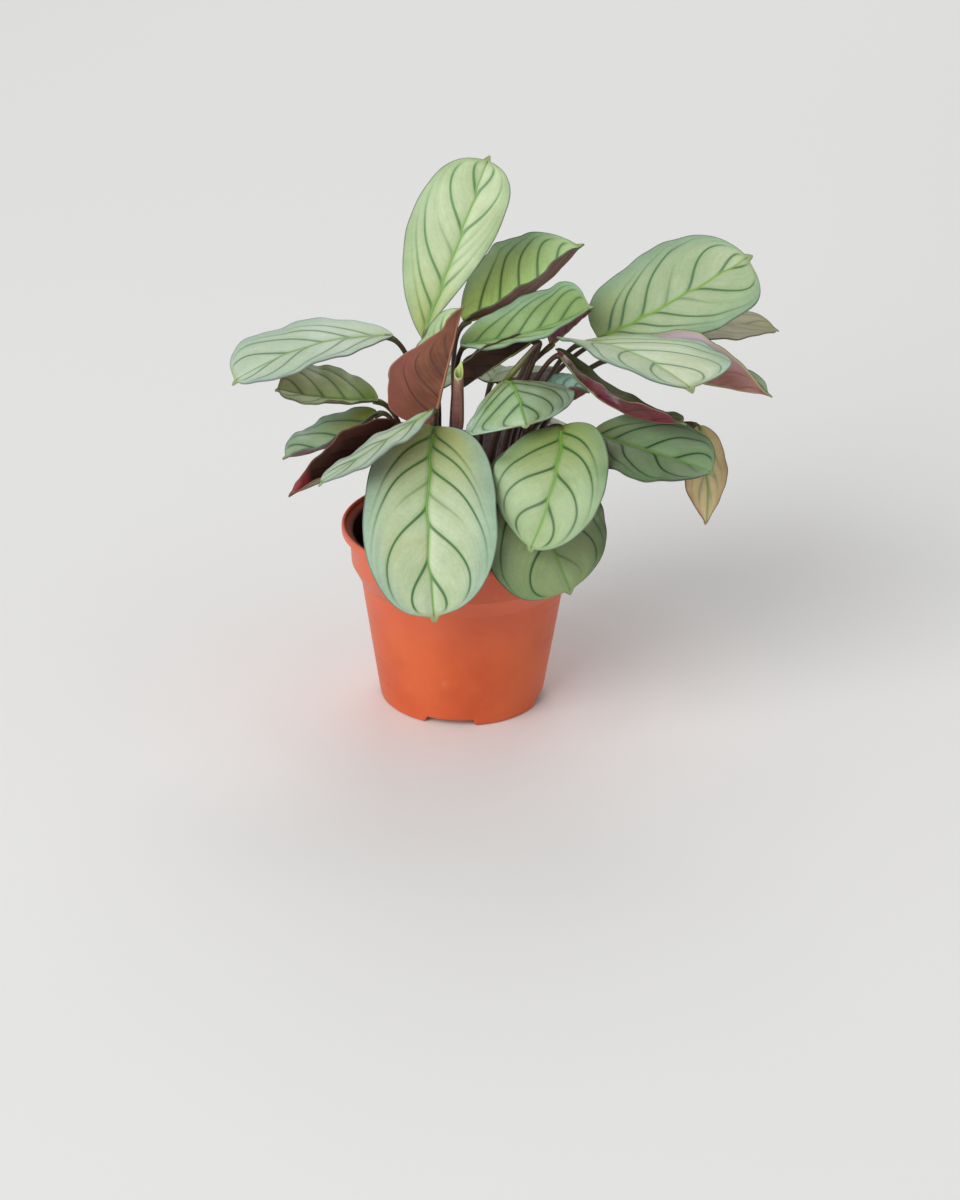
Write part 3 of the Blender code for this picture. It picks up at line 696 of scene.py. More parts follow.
LEAVES = [
    Leaf("leaf_tall", Slot.FRESH_GREEN, (-10.5, 10, 89.5), (5, 22, 132), (-5, 10),
         left=13, right=8.5, bow=2.5, sway=0.5, roll=40, fold_left=(6, 6), fold_right=(6, 6),
         widest=(0.6, 0.8), base_power=(0.85, 1.6), tip_power=(0.4, 0.45), rise=30,
         veins_left=Veins((0.03, 0.14, 0.29, 0.58, 0.79), (0.44,)),
         veins_right=Veins((0.24, 0.55, 0.76), (0.37, 0.46)), top=TALL_GREEN),
    Leaf("leaf_upper_middle", Slot.SILVER_GREEN, (-1, 18, 91.5), (28, 26, 109.5), (-1, 13),
         left=15.5, right=7.5, bow=-3.5, fold_left=(48, 48), fold_right=(42, 42), curl_right=0,
         widest=(0.55, 0.6), rise=30, veins_left=FIVE_VEINS, veins_right=FOUR_VEINS,
         top=BRIGHT_GREEN, back=RUSSET_BACK),
    Leaf("leaf_crown", Slot.BLUE_GREEN, (-1.5, 5, 90), (30, 3, 101), (-3, 8),
         left=14, right=5.5, bow=-1.9, fold_left=(25, 25), fold_right=(0, 0), curl_left=-5,
         widest=(0.75, 0.5), tip_power=(0.35, 0.5), reach=4, rise=30,
         veins_left=FIVE_VEINS, veins_right=FOUR_VEINS, top=CROWN_GREEN),
    Leaf("leaf_upper_right", Slot.SILVER_GREEN, (32, 13, 89), (69, 20, 109), (9, 10),
         left=16, right=14.5, bow=-1, roll=30, fold_left=(10, 10),
         widest=(0.6, 0.85), base_power=(0.3, 0.7), tip_power=(0.6, 0.35), rise=38,
         veins_left=Veins((0.05, 0.13, 0.27, 0.57, 0.78), (0.42,)),
         veins_right=Veins((0.08, 0.20, 0.34, 0.62, 0.85), (0.50,)), top=BROAD_GREEN),
    Leaf("leaf_right_back", Slot.OLIVE, (43, 22, 85), (78, 28, 87.5), (8, 14),
         left=12, right=13, bow=3, rise=38, top=OLIVE_BEIGE, back=ROSE_BACK),
    Leaf("leaf_right_broad", Slot.SILVER_GREEN, (27, 5.5, 91), (52, -30, 92), (12.5, 7.5),
         left=20, right=15, bow=3, fold_left=(2, 2), fold_right=(18, 10), curl_right=0,
         widest=(0.72, 0.55), base_power=(0.7, 0.42), rise=36,
         veins_left=Veins((0.05, 0.22, 0.42, 0.66), lean=0.3, turn=0.3, turn_power=3.4),
         veins_right=Veins((0.22, 0.44, 0.66), lean=0.1)),
    Leaf("leaf_right_folded", Slot.ROSE, (35.5, 8, 86.5), (74.5, 5, 78.5), (13.5, 10.5),
         left=8, right=12.5, bow=-1, fold_left=(35, 35), fold_right=(85, 85),
         widest=(0.5, 0.42), base_power=(0.55, 0.9), tip_power=(0.35, 1.15), rise=30,
         top=MID_GREEN, back=ROSE_BACK),
    Leaf("leaf_right_sagging", Slot.MAROON, (21.5, 2, 90.5), (51.5, -21, 81), (9, 4.5),
         left=8, right=8, bow=-6, fold_left=(5, 5), fold_right=(55, 55),
         widest=(0.65, 0.5), reach=3, rise=36, top=SHADOWED_GREEN, back=CRIMSON_BACK,
         stalk=DARK_STALK),
    Leaf("leaf_right_low", Slot.SILVER_GREEN, (30, -8, 72.5), (58.5, -24, 69.5), (11, -5),
         left=12.5, right=14, bow=0.5, fold_left=(25, 25), fold_right=(0, 0),
         veins_left=Veins((0.03, 0.16, 0.42, 0.66)),
         veins_right=Veins((0.1, 0.24, 0.5), (0.76,)), top=COOL_GREEN),
    Leaf("leaf_yellowing", Slot.YELLOW, (56, -6, 74.5), (58.5, -12, 51), (14, -1),
         left=5.5, right=6, bow=2, tip_power=(1.25, 1.1), widest=(0.42, 0.48),
         veins_left=Veins((0.06, 0.3, 0.58), lean=0.4), veins_right=Veins((0.1, 0.4), lean=0.4),
         top=YELLOW_DYING, back=PALE_BACK),
    Leaf("leaf_centre_low", Slot.SILVER_GREEN, (23, -13, 76.5), (15.5, -33, 52.5), (8, -6),
         left=12.8, right=14.7, bow=4.5, sway=-3,
         base_power=(0.4, 0.4), tip_power=(0.6, 0.6), rise=30,
         veins_left=Veins((0.04, 0.17, 0.41, 0.65)), veins_right=Veins((0.11, 0.35, 0.61)),
         top=YOUNG_GREEN),
    Leaf("leaf_front_middle", Slot.SILVER_GREEN, (12, -10, 69.5), (26, -30, 40.5), (3, -11),
         left=16.5, right=16, bow=3, sway=2, fold_right=(-10, -10),
         widest=(0.6, 0.72), tip_power=(0.5, 0.35), rise=12,
         veins_left=Veins((0.08, 0.25, 0.46), (0.72,)), veins_right=Veins((0.10, 0.26, 0.60)),
         top=SHADED_GREEN),
    Leaf("leaf_front_left", Slot.FRESH_GREEN, (-7, -13, 76), (-6, -42.5, 38.5), (-3, -8),
         left=16.2, right=15, bow=5, sway=1.7,
         widest=(0.55, 0.55), base_power=(0.33, 0.33), tip_power=(0.42, 0.42),
         veins_left=Veins((0.03, 0.10, 0.23, 0.52, 0.77), (0.36,)),
         veins_right=Veins((0.04, 0.16, 0.44, 0.70), (0.30,)), top=FRONT_GREEN),
    Leaf("leaf_centre_crown", Slot.BLUE_GREEN, (9, -1, 83), (14.5, -21, 79), (7, 1),
         left=15, right=16, bow=4, fold_left=(-5, -5), fold_right=(-32, -32), curl_right=-20,
         widest=(0.42, 0.75), base_power=(0.4, 0.55), rise=44, arch=(20, 4, 24),
         veins_left=FOUR_VEINS, veins_right=FOUR_VEINS,
         top=replace(BLUE_GREEN, centre=seen(142, 168, 112), edge=seen(168, 196, 170),
                     foot=seen(150, 164, 60))),
    Leaf("leaf_centre_small", Slot.BLUE_GREEN, (19.5, -1, 75), (29.5, -1, 81), (5.5, -3),
         left=8, right=5, fold_left=(50, 50), fold_right=(60, 60), reach=4,
         wave=0.2, veins_left=THREE_VEINS, veins_right=THREE_VEINS,
         top=replace(BLUE_GREEN, centre=seen(120, 160, 146), edge=seen(90, 130, 118))),
    Leaf("leaf_centre_shaded", Slot.MAROON, (16.5, 6, 91.5), (-2, 1.5, 79.5), (4, 7),
         left=7, right=6, fold_left=(75, 75), fold_right=(50, 50), widest=(0.7, 0.6),
         rise=36, wave=0.3, veins_left=FOUR_VEINS, veins_right=FOUR_VEINS,
         top=SHADOWED_GREEN, back=SHADOWED_BACK, stalk=DARK_STALK),
    Leaf("leaf_upright_folded", Slot.MAROON, (-8, -4, 72), (-1, 0, 101.5), (-6, -3),
         left=10, right=13, roll=-48, fold_left=(70, 70), fold_right=(75, 75),
         curl_left=0, curl_right=0, widest=(0.4, 0.31), base_power=(0.5, 0.25),
         tip_power=(0.5, 2.2), veins_left=FIVE_VEINS, veins_right=FIVE_VEINS,
         top=TALL_GREEN, back=RUSSET_BACK, stalk=RUSSET_STALK),
    Leaf("leaf_left_long", Slot.SILVER_GREEN, (-17.5, 8, 91), (-55.8, -4, 82.5), (-9, 9),
         left=12.5, right=13.5, bow=3.5, fold_left=(0, 0), curl_left=0, curl_right=0,
         widest=(0.6, 0.78), base_power=(0.9, 0.55), tip_power=(0.5, 0.3), rise=30,
         veins_left=Veins((0.05, 0.24, 0.5, 0.7), lean=0.24, turn=0.3),
         veins_right=Veins((0.1, 0.24, 0.4, 0.62), lean=0.24),
         top=SILVER_GREEN),
    Leaf("leaf_left_middle", Slot.SILVER_GREEN, (-21, 4, 76), (-45.5, 0, 80), (-12, 4),
         left=10, right=11.5, bow=-1, fold_left=(8, -14), fold_right=(28, 28), curl_left=34,
         widest=(0.5, 0.6), tip_power=(0.5, 0.3), veins_left=FOUR_VEINS, veins_right=FOUR_VEINS,
         top=OLIVE_GREEN),
    Leaf("leaf_left_low", Slot.BLUE_GREEN, (-21, 1, 74), (-43.5, -8, 65.5), (-13, 0),
         left=8, right=10, bow=-2.5, fold_left=(36, 36), fold_right=(18, 18),
         veins_left=FOUR_VEINS, veins_right=THREE_VEINS,
         top=replace(BLUE_GREEN, foot=seen(128, 138, 52), foot_reach=0.75, foot_share=1.0)),
    Leaf("leaf_left_dark", Slot.MAROON, (-15.5, -5, 73.5), (-41.5, -18, 60), (-12, -3),
         left=9, right=9, bow=-2.5, fold_left=(40, 40), fold_right=(105, 95),
         widest=(0.4, 0.4), tip_power=(0.9, 0.8), veins_left=FOUR_VEINS, veins_right=FOUR_VEINS,
         top=RED_TIPPED_BACK, back=SHADOWED_GREEN, stalk=DARK_STALK),
    Leaf("leaf_left_narrow", Slot.SILVER_GREEN, (-7.2, -15, 81), (-33.5, -32, 68.5), (-10, -7),
         left=8.5, right=6, roll=14, fold_left=(0, 0), fold_right=(0, 0),
         curl_left=0, curl_right=0, base_power=(0.8, 1.0), reach=6, rise=36,
         veins_left=THREE_VEINS, veins_right=THREE_VEINS, top=SILVER_GREEN),
    Leaf("leaf_narrow_folded", Slot.ROSE, (20.5, 12, 88), (30.5, 13, 97), (5.5, 12),
         left=5, right=5, fold_left=(60, 60), fold_right=(60, 60),
         curl_left=0, curl_right=0, rise=38, wave=0.0, top=TALL_GREEN,
         back=replace(CRIMSON_BACK, main=seen(136, 66, 82), coat=0.1, roughness=0.45)),
    Leaf("leaf_back_left_high", Slot.SILVER_GREEN, (-7, 17, 74), (-15, 48, 60), (-7, 14),
         left=8, right=11, bow=6, veins_left=FOUR_VEINS, top=SHADED_GREEN, back=SHADOWED_BACK),
    Leaf("leaf_back_right_high", Slot.FRESH_GREEN, (6, 17, 76), (14, 50, 60), (3, 16),
         left=11, right=12, bow=6, veins_right=FOUR_VEINS, top=SHADED_GREEN, back=SHADOWED_BACK),
    Leaf("leaf_back_middle_low", Slot.BLUE_GREEN, (2, 19, 62), (2, 44, 34), (2, 18.5),
         left=10, right=11, bow=6, rise=10, veins_left=FOUR_VEINS, top=BLUE_GREEN,
         back=SHADOWED_BACK),
    Leaf("leaf_back_right_low", Slot.SILVER_GREEN, (18, 16, 62), (36, 38, 46), (14, 14),
         left=11, right=12, bow=6, rise=12, veins_right=THREE_VEINS, back=SHADOWED_BACK),
    Leaf("leaf_back_left_low", Slot.SILVER_GREEN, (-14, 14, 60), (-26.5, 36.5, 46), (-11, 14),
         left=12, right=11, bow=6, rise=8, veins_left=THREE_VEINS, veins_right=FOUR_VEINS,
         back=SHADOWED_BACK),
]


def lengths(vectors: np.ndarray) -> np.ndarray:
    """Return the length of each row of vectors, as a column."""
    return np.sqrt((vectors ** 2).sum(axis=-1, keepdims=True))


def unit(vectors: np.ndarray) -> np.ndarray:
    """Return vectors, one or many, at length 1."""
    return vectors / lengths(vectors)


def link(name: str, data: Any) -> bpy.types.Object:
    """Return a new object of the data, put in the scene.

    Args:
        name: The object's name.
        data: Its mesh, camera or light.

    Returns:
        The object.
    """
    thing = bpy.data.objects.new(name, data)
    bpy.context.scene.collection.objects.link(thing)
    return thing


def to_mesh(bm: bmesh.types.BMesh, name: str, smooth: bool = True) -> bpy.types.Mesh:
    """Turn a finished bmesh into a mesh, and free it.

    Args:
        bm: The bmesh.
        name: The mesh's name.
        smooth: Whether its faces are shaded smooth.

    Returns:
        The mesh.
    """
    mesh = bpy.data.meshes.new(name)
    bm.to_mesh(mesh)
    bm.free()
    if smooth:
        mesh.shade_smooth()
    return mesh


def carry(mesh: bpy.types.Mesh, domain: Domain, numbers: dict[str, np.ndarray]) -> None:
    """Store named numbers on a mesh, for its materials to read.

    Args:
        mesh: The mesh.
        domain: Whether there is a number for each point or for each corner.
        numbers: An array under each attribute's name.
    """
    for name, values in numbers.items():
        attribute = mesh.attributes.new(name, "FLOAT", domain.value)
        attribute.data.foreach_set("value", np.ascontiguousarray(values, dtype=np.float32))


def place_piece(name: str, mesh: bpy.types.Mesh, node: str,
                materials: Sequence[bpy.types.Material]) -> bpy.types.Object:
    """Put a finished mesh in the scene in a CAD node's place.

    Args:
        name: The piece's name.
        mesh: Its mesh, in metres in the frame.
        node: The CAD node that it stands for.
        materials: Its materials, in the order of its faces' indices.

    Returns:
        The piece.
    """
    piece = link(name, mesh)
    for material in materials:
        mesh.materials.append(material)
    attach(piece, "root")
    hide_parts(node)
    return piece


def thicken(piece: bpy.types.Object, thickness: float, offset: float) -> None:
    """Give a sheet its thickness, with its second material on the other face.

    Args:
        piece: The sheet.
        thickness: Its thickness in millimetres.
        offset: 0 to grow on both sides, or -1 to grow inwards.
    """
    shell = piece.modifiers.new("thickness", "SOLIDIFY")
    shell.thickness = thickness * MM
    shell.offset = offset
    shell.material_offset = 1
    shell.material_offset_rim = 0


def in_frame(points: np.ndarray) -> np.ndarray:
    """Turn millimetres from the pot's axis into metres in the frame."""
    return (points + np.array((AXIS_X, AXIS_Y, 0.0))) * MM


@dataclass
class LeafShape:
    """The surface of one leaf, as a function of the place along and across it."""

    leaf: Leaf
    taper: float = 0.965
    roundness: float = 2.1
    point_width: float = 0.2
    point_power: float = 0.62
    point_length: float = 0.14
    narrowest: float = 0.08
    point_start: float = 0.6
    uneven: float = 0.008
    slow_swings: float = 13.0
    fast_swings: float = 29.0
    fast_share: float = 0.4
    zigzag: float = 0.28
    zigzag_range: tuple = (0.1, 0.9)
    zigzag_blur: float = 0.02
    hook: float = 0.7
    hook_start: float = 0.92
    open_width: float = 3.0
    open_share: float = 0.35
    calm_ends: float = 0.12
    quilt: float = 0.08
    quilt_foot: float = 0.2
    quilt_edge: float = 0.15
    groove: float = 0.22
    groove_width: float = 1.3
    ripple: float = 0.12
    ripples: float = 6.3
    vein_step: float = 0.004
    widest_spacing: float = 40.0
    soil_top: float = 38.0

    def spine(self, s: np.ndarray) -> tuple[np.ndarray, np.ndarray, np.ndarray, np.ndarray]:
        """Return the midrib's points, directions, top normals and right sides.

        Args:
            s: Places along the blade, from 0 to 1.

        Returns:
            Four arrays, each with a row for each place.
        """
        leaf = self.leaf
        base, tip = np.array(leaf.base, float), np.array(leaf.tip, float)
        course = unit(tip - base)
        up = unit(np.array((0.0, 0.0, 1.0)) - course[2] * course)
        side = np.cross(course, up)
        roll = radians(leaf.roll)
        top = cos(roll) * up + sin(roll) * side
        flank = cos(roll) * side - sin(roll) * up
        middle = (base + tip) / 2 + 2 * leaf.bow * top + 2 * leaf.sway * flank
        u = s[:, None]
        point = (1 - u) ** 2 * base + 2 * u * (1 - u) * middle + u ** 2 * tip
        along = unit(2 * (1 - u) * (middle - base) + 2 * u * (tip - middle))
        normal = unit(top - (along @ top)[:, None] * along)
        return point, along, normal, np.cross(along, normal)

    def width(self, s: np.ndarray, right: np.ndarray) -> np.ndarray:
        """Return the blade's width on one side of the midrib, with a drawn-out tip.

        Args:
            s: Places along the blade, from 0 to 1.
            right: Whether each place is on the right side.

        Returns:
            Widths in millimetres.
        """
        leaf = self.leaf

        def pick(pair: tuple[float, float]) -> np.ndarray:
            """Return the side's own number for each place."""
            return np.where(right, pair[1], pair[0])

        full_width = pick((leaf.left, leaf.right))
        widest = pick(leaf.widest)
        body = np.minimum(s / self.taper, 1.0)
        before = body < widest
        away = np.where(before, (widest - body) / widest, (body - widest) / (1 - widest))
        power = np.where(before, pick(leaf.base_power), pick(leaf.tip_power))
        full = full_width * np.maximum(1 - np.clip(away, 0, 1) ** self.roundness, 0.0) ** power
        swings = np.sin(self.slow_swings * s + 2 * leaf.seed + right)
        full *= 1 + self.uneven * swings * np.sin(pi * s)
        swings = np.sin(self.fast_swings * s + 5 * leaf.seed + 2 * right)
        full *= 1 + self.fast_share * self.uneven * swings * np.sin(pi * s)
        shrink = np.clip((1 - s) / self.point_length, 0, 1) ** self.point_power
        point = np.where(s > self.point_start, self.point_width * full_width * shrink, 0.0)
        return np.maximum((full ** 3 + point ** 3) ** (1 / 3), self.narrowest)

    def veins(self, right: bool) -> Veins:
        """Return the veins of the right or the left half."""
        return self.leaf.veins_right if right else self.leaf.veins_left

    def phase(self, s: np.ndarray, t: np.ndarray, right: np.ndarray) -> np.ndarray:
        """Return the vein phase at each place, from its own half's veins."""
        return np.where(right, self.veins(True).phase(s, t), self.veins(False).phase(s, t))

    def surface(self, s: np.ndarray, t: np.ndarray, right: np.ndarray) -> np.ndarray:
        """Return points of the blade's middle surface.

        Args:
            s: Places along the blade, from 0 to 1.
            t: Places from the midrib to the margin, from 0 to 1.
            right: Whether each place is on the right side.

        Returns:
            Points in millimetres from the pot's axis, a row for each place.
        """
        leaf = self.leaf
        point, _, normal, flank = self.spine(s)
        side = np.where(right, 1.0, -1.0)
        full_width = np.where(right, leaf.right, leaf.left)
        reach = self.width(s, right)
        opened = np.minimum(self.open_share + (1 - self.open_share) * reach / self.open_width, 1.0)
        first = np.where(right, leaf.fold_right[0], leaf.fold_left[0])
        last = np.where(right, leaf.fold_right[1], leaf.fold_left[1])
        fold = np.radians(first + (last - first) * s) * opened
        bend = np.radians(np.where(right, leaf.curl_right, leaf.curl_left)) / full_width
        bend = np.where(np.abs(bend) < 1e-6, 1e-6, bend)
        out = t * reach
        across = (np.sin(fold + bend * out) - np.sin(fold)) / bend
        height = (np.cos(fold) - np.cos(fold + bend * out)) / bend
        share = (out / full_width) ** 2
        height += leaf.wave * share * np.sin(2 * pi * leaf.waves * s + np.where(right, 1.3, 0.0))
        height += self.relief(s, t, right, out)
        across = side * across + self.kink(s) * (1 - t) ** 2
        return point + across[:, None] * flank + height[:, None] * normal

    def kink(self, s: np.ndarray) -> np.ndarray:
        """Return how far the midrib strays towards the laterals that it meets.

        Args:
            s: Places along the blade, from 0 to 1.

        Returns:
            Millimetres to the right.
        """
        first, last = self.zigzag_range
        stops = [(0.0, 0.0), (0.95, 0.0)]
        for right, offset in ((False, -self.zigzag), (True, self.zigzag)):
            veins = self.veins(right)
            stops += [(place + veins.start, offset) for place in veins.strong
                      if first < place < last]
        places, offsets = zip(*sorted(stops))
        spread = np.linspace(-self.zigzag_blur, self.zigzag_blur, 5)[:, None]
        return np.interp(s + spread, places, offsets).mean(axis=0)

    def calm(self, s: np.ndarray) -> np.ndarray:
        """Return 1 along the blade, and less near its two ends."""
        return np.clip(np.minimum(s, 1 - s) / self.calm_ends, 0, 1)

    def relief(self, s: np.ndarray, t: np.ndarray, right: np.ndarray,
               out: np.ndarray) -> np.ndarray:
        """Return how far the surface swells between its veins and sinks at its midrib.

        Args:
            s: Places along the blade, from 0 to 1.
            t: Places from the midrib to the margin, from 0 to 1.
            right: Whether each place is on the right side.
            out: Millimetres from the midrib.

        Returns:
            Heights in millimetres.
        """
        swell = np.sin(pi * self.phase(s, t, right)) ** 2
        quilt = self.quilt * (swell - 0.5) * np.clip(t / self.quilt_foot, 0, 1)
        quilt *= np.clip((1 - t) / self.quilt_edge, 0, 1)
        groove = self.groove * np.exp(-(out / self.groove_width) ** 2)
        turns = 2 * pi * self.ripples * s + self.leaf.seed + 2 * right
        hooked = np.clip((s - self.hook_start) / (1 - self.hook_start), 0, 1) ** 2
        return (quilt - groove + self.ripple * t ** 3 * np.sin(turns)) * self.calm(s) - self.hook * hooked

    def vein_spacing(self, s: np.ndarray, t: np.ndarray, right: np.ndarray) -> np.ndarray:
        """Return how far apart the laterals run at each place.

        Args:
            s: Places along the blade, from 0 to 1.
            t: Places from the midrib to the margin, from 0 to 1.
            right: Whether each place is on the right side.

        Returns:
            Millimetres for each whole step of vein phase.
        """
        step = self.vein_step
        low_s, high_s = np.maximum(s - step, 0), np.minimum(s + step, 1)
        low_t, high_t = np.maximum(t - step, 0), np.minimum(t + step, 1)
        run_s, run_t = high_s - low_s, high_t - low_t
        by_s = (self.surface(high_s, t, right) - self.surface(low_s, t, right)) / run_s[:, None]
        by_t = (self.surface(s, high_t, right) - self.surface(s, low_t, right)) / run_t[:, None]
        phase_s = (self.phase(high_s, t, right) - self.phase(low_s, t, right)) / run_s
        phase_t = (self.phase(s, high_t, right) - self.phase(s, low_t, right)) / run_t
        e, f, g = (by_s * by_s).sum(1), (by_s * by_t).sum(1), (by_t * by_t).sum(1)
        area = np.maximum(e * g - f * f, 1e-6)
        slope = (g * phase_s ** 2 - 2 * f * phase_s * phase_t + e * phase_t ** 2) / area
        return np.clip(1 / np.sqrt(np.maximum(slope, 1e-8)), 0, self.widest_spacing)


@dataclass
class BladePiece:
    """A leaf's blade: a grid laid on the leaf's surface, with its thickness and two skins."""

    shape: LeafShape
    thickness: float = 0.36
    row_length: float = 0.42
    column_width: float = 0.5
    vein_root: float = 0.37
    vein_end: float = 0.19
    start: float = 0.004
    end: float = 0.999
    row_crowding: float = 0.35
    column_crowding: float = 0.8
    vein_stop: float = 0.97
    vein_stop_fade: float = 0.05
    crowded: float = 0.9
    uncrowded: float = 2.5

    def places(self, count: int, ends: float) -> np.ndarray:
        """Return places from 0 to 1, closer together near both ends."""
        even = np.linspace(0, 1, count + 1)
        return (1 - ends) * even + ends * (0.5 - 0.5 * np.cos(pi * even))

    def build(self, top: bpy.types.Material, back: bpy.types.Material) -> bpy.types.Object:
        """Build the blade.

        Args:
            top: The upper face's material.
            back: The underside's material.

        Returns:
            The blade's piece.
        """
        leaf = self.shape.leaf
        length = float(np.linalg.norm(np.subtract(leaf.tip, leaf.base)))
        rows = int(length / self.row_length)
        half = int(max(leaf.left, leaf.right) / self.column_width)
        row_s = self.start + (self.end - self.start) * self.places(rows, self.row_crowding)
        column_t = self.places(half, self.column_crowding)

        bm = bmesh.new()
        bmesh.ops.create_grid(bm, x_segments=rows, y_segments=2 * half, size=0.5)
        row = np.array([round((v.co.x + 0.5) * rows) for v in bm.verts])
        column = np.array([round(v.co.y * 2 * half) for v in bm.verts])
        points = in_frame(self.shape.surface(row_s[row], column_t[np.abs(column)], column > 0))
        for vertex, point in zip(bm.verts, points):
            vertex.co = point
        bmesh.ops.reverse_faces(bm, faces=bm.faces[:])
        self.face_up(bm)
        mesh = to_mesh(bm, leaf.name)

        corners = np.zeros(len(mesh.loops), dtype=np.int32)
        mesh.loops.foreach_get("vertex_index", corners)
        face_side = np.repeat([column[list(face.vertices)].mean() > 0 for face in mesh.polygons], 4)
        s, t = row_s[row[corners]], column_t[np.abs(column[corners])]
        self.describe(mesh, s, t, face_side)
        piece = place_piece(leaf.name + "_blade", mesh, leaf.name, (top, back))
        thicken(piece, self.thickness, 0.0)
        return piece

    def face_up(self, bm: bmesh.types.BMesh) -> None:
        """Turn the faces so that they look out of the leaf's top.

        Args:
            bm: The blade's bmesh.
        """
        bm.normal_update()
        _, _, normal, _ = self.shape.spine(np.array([0.5]))
        total = sum((face.normal * face.calc_area() for face in bm.faces), Vector())
        if total.dot(Vector(normal[0])) < 0:
            bmesh.ops.reverse_faces(bm, faces=bm.faces[:])

    def describe(self, mesh: bpy.types.Mesh, s: np.ndarray, t: np.ndarray,
                 right: np.ndarray) -> None:
        """Store on each corner what the skins read.

        Args:
            mesh: The blade's mesh.
            s: Each corner's place along the blade, from 0 to 1.
            t: Its place from the midrib to the margin, from 0 to 1.
            right: Whether it is on the right side.
        """
        shape = self.shape
        reach = shape.width(s, right)
        phase = shape.phase(s, t, right)
        strength = np.where(right, shape.veins(True).strength(phase, t),
                            shape.veins(False).strength(phase, t))
        spacing = shape.vein_spacing(s, t, right)
        strength *= np.clip((self.vein_stop - s) / self.vein_stop_fade, 0, 1)
        strength *= np.clip((spacing - self.crowded) / (self.uncrowded - self.crowded), 0, 1)
        half_line = self.vein_root + (self.vein_end - self.vein_root) * t
        carry(mesh, Domain.CORNER, {
            "along": s, "across": t, "from_midrib": t * reach, "from_margin": (1 - t) * reach,
            "vein_phase": phase, "vein_scale": spacing / half_line, "vein_strength": strength})


@dataclass
class StalkPiece:
    """A leaf's stalk, which runs on under the blade as its midrib."""

    shape: LeafShape
    sides: int = 12
    depth: float = 4.0
    stalk_steps: int = 26
    rib_steps: int = 30
    sheath_radius: float = 1.04
    sheath_ends: tuple[float, float] = (0.2, 0.62)
    stalk_radius: float = 0.62
    joint_radius: float = 0.82
    rib_radius: float = 0.42
    tip_radius: float = 0.1
    proud: float = 0.1
    blade_half: float = 0.18
    rib_start: float = 0.06
    rib_end: float = 0.965
    rib_power: float = 0.8
    rib_sink: float = 0.6
    join_place: float = 0.05
    join_drop: float = 0.35
    joint_place: float = 0.95
    joint_width: float = 0.06

    def path(self) -> tuple[np.ndarray, np.ndarray, np.ndarray]:
        """Return the stalk's points, radii and places.

        Returns:
            Points in millimetres, radii in millimetres, and places that go from 0 at the soil to
            1 at the blade and 2 at its tip.
        """
        leaf = self.shape.leaf
        start, along, normal, _ = (a[0] for a in self.shape.spine(np.array([self.join_place])))
        end = start - self.join_drop * normal
        root = np.array((*leaf.root, self.shape.soil_top))
        first = root + np.array((0.0, 0.0, leaf.rise))
        last = end + np.array(leaf.arch) if leaf.arch else end - leaf.reach * along
        u = np.linspace(0, 1, self.stalk_steps)[:, None]
        stalk = ((1 - u) ** 3 * root + 3 * u * (1 - u) ** 2 * first
                 + 3 * u ** 2 * (1 - u) * last + u ** 3 * end)
        u = u[:, 0]
        swell = np.exp(-((u - self.joint_place) / self.joint_width) ** 2)
        open_end, closed_end = self.sheath_ends
        share = ease(np.clip((u - open_end) / (closed_end - open_end), 0, 1))
        stalk_radius = (self.sheath_radius + (self.stalk_radius - self.sheath_radius) * share
                        + (self.joint_radius - self.stalk_radius) * swell)
        s = np.linspace(self.rib_start, self.rib_end, self.rib_steps)
        point, _, normals, flanks = self.shape.spine(s)
        shrink = (1 - s) ** self.rib_power
        rib_radius = self.tip_radius + (self.rib_radius - self.tip_radius) * shrink
        groove = self.shape.groove * self.shape.calm(s)
        lift = self.blade_half + self.proud * (1 - self.rib_sink * s) - rib_radius - groove
        rib = point + lift[:, None] * normals + self.shape.kink(s)[:, None] * flanks
        below = root - np.array((0.0, 0.0, self.depth))
        points = np.concatenate((below[None], stalk, rib))
        radii = np.concatenate(([self.sheath_radius], stalk_radius, rib_radius))
        places = np.concatenate(([0.0], u, 1.0 + s))
        return points, radii, places

    def build(self, skin: bpy.types.Material) -> bpy.types.Object:
        """Build the stalk: a circle drawn along its path, ring by ring.

        Args:
            skin: The stalk's material.

        Returns:
            The stalk's piece.
        """
        leaf = self.shape.leaf
        points, radii, places = self.path()
        _, _, top, _ = (a[0] for a in self.shape.spine(np.array([0.5])))
        bm, ring = Tube(points, radii, self.sides).build()
        mesh = to_mesh(bm, leaf.name + "_stalk")
        at = np.zeros(len(mesh.vertices) * 3, dtype=np.float32)
        mesh.vertices.foreach_get("co", at)
        offset = at.reshape(-1, 3) - in_frame(points)[ring]
        carry(mesh, Domain.POINT, {
            "place": places[ring], "upper": (offset @ top) / (radii[ring] * MM),
            "turn": np.abs(np.arctan2(offset[:, 0], offset[:, 1]) / (2 * pi))})
        return place_piece(leaf.name + "_stalk", mesh, leaf.name, (skin,))


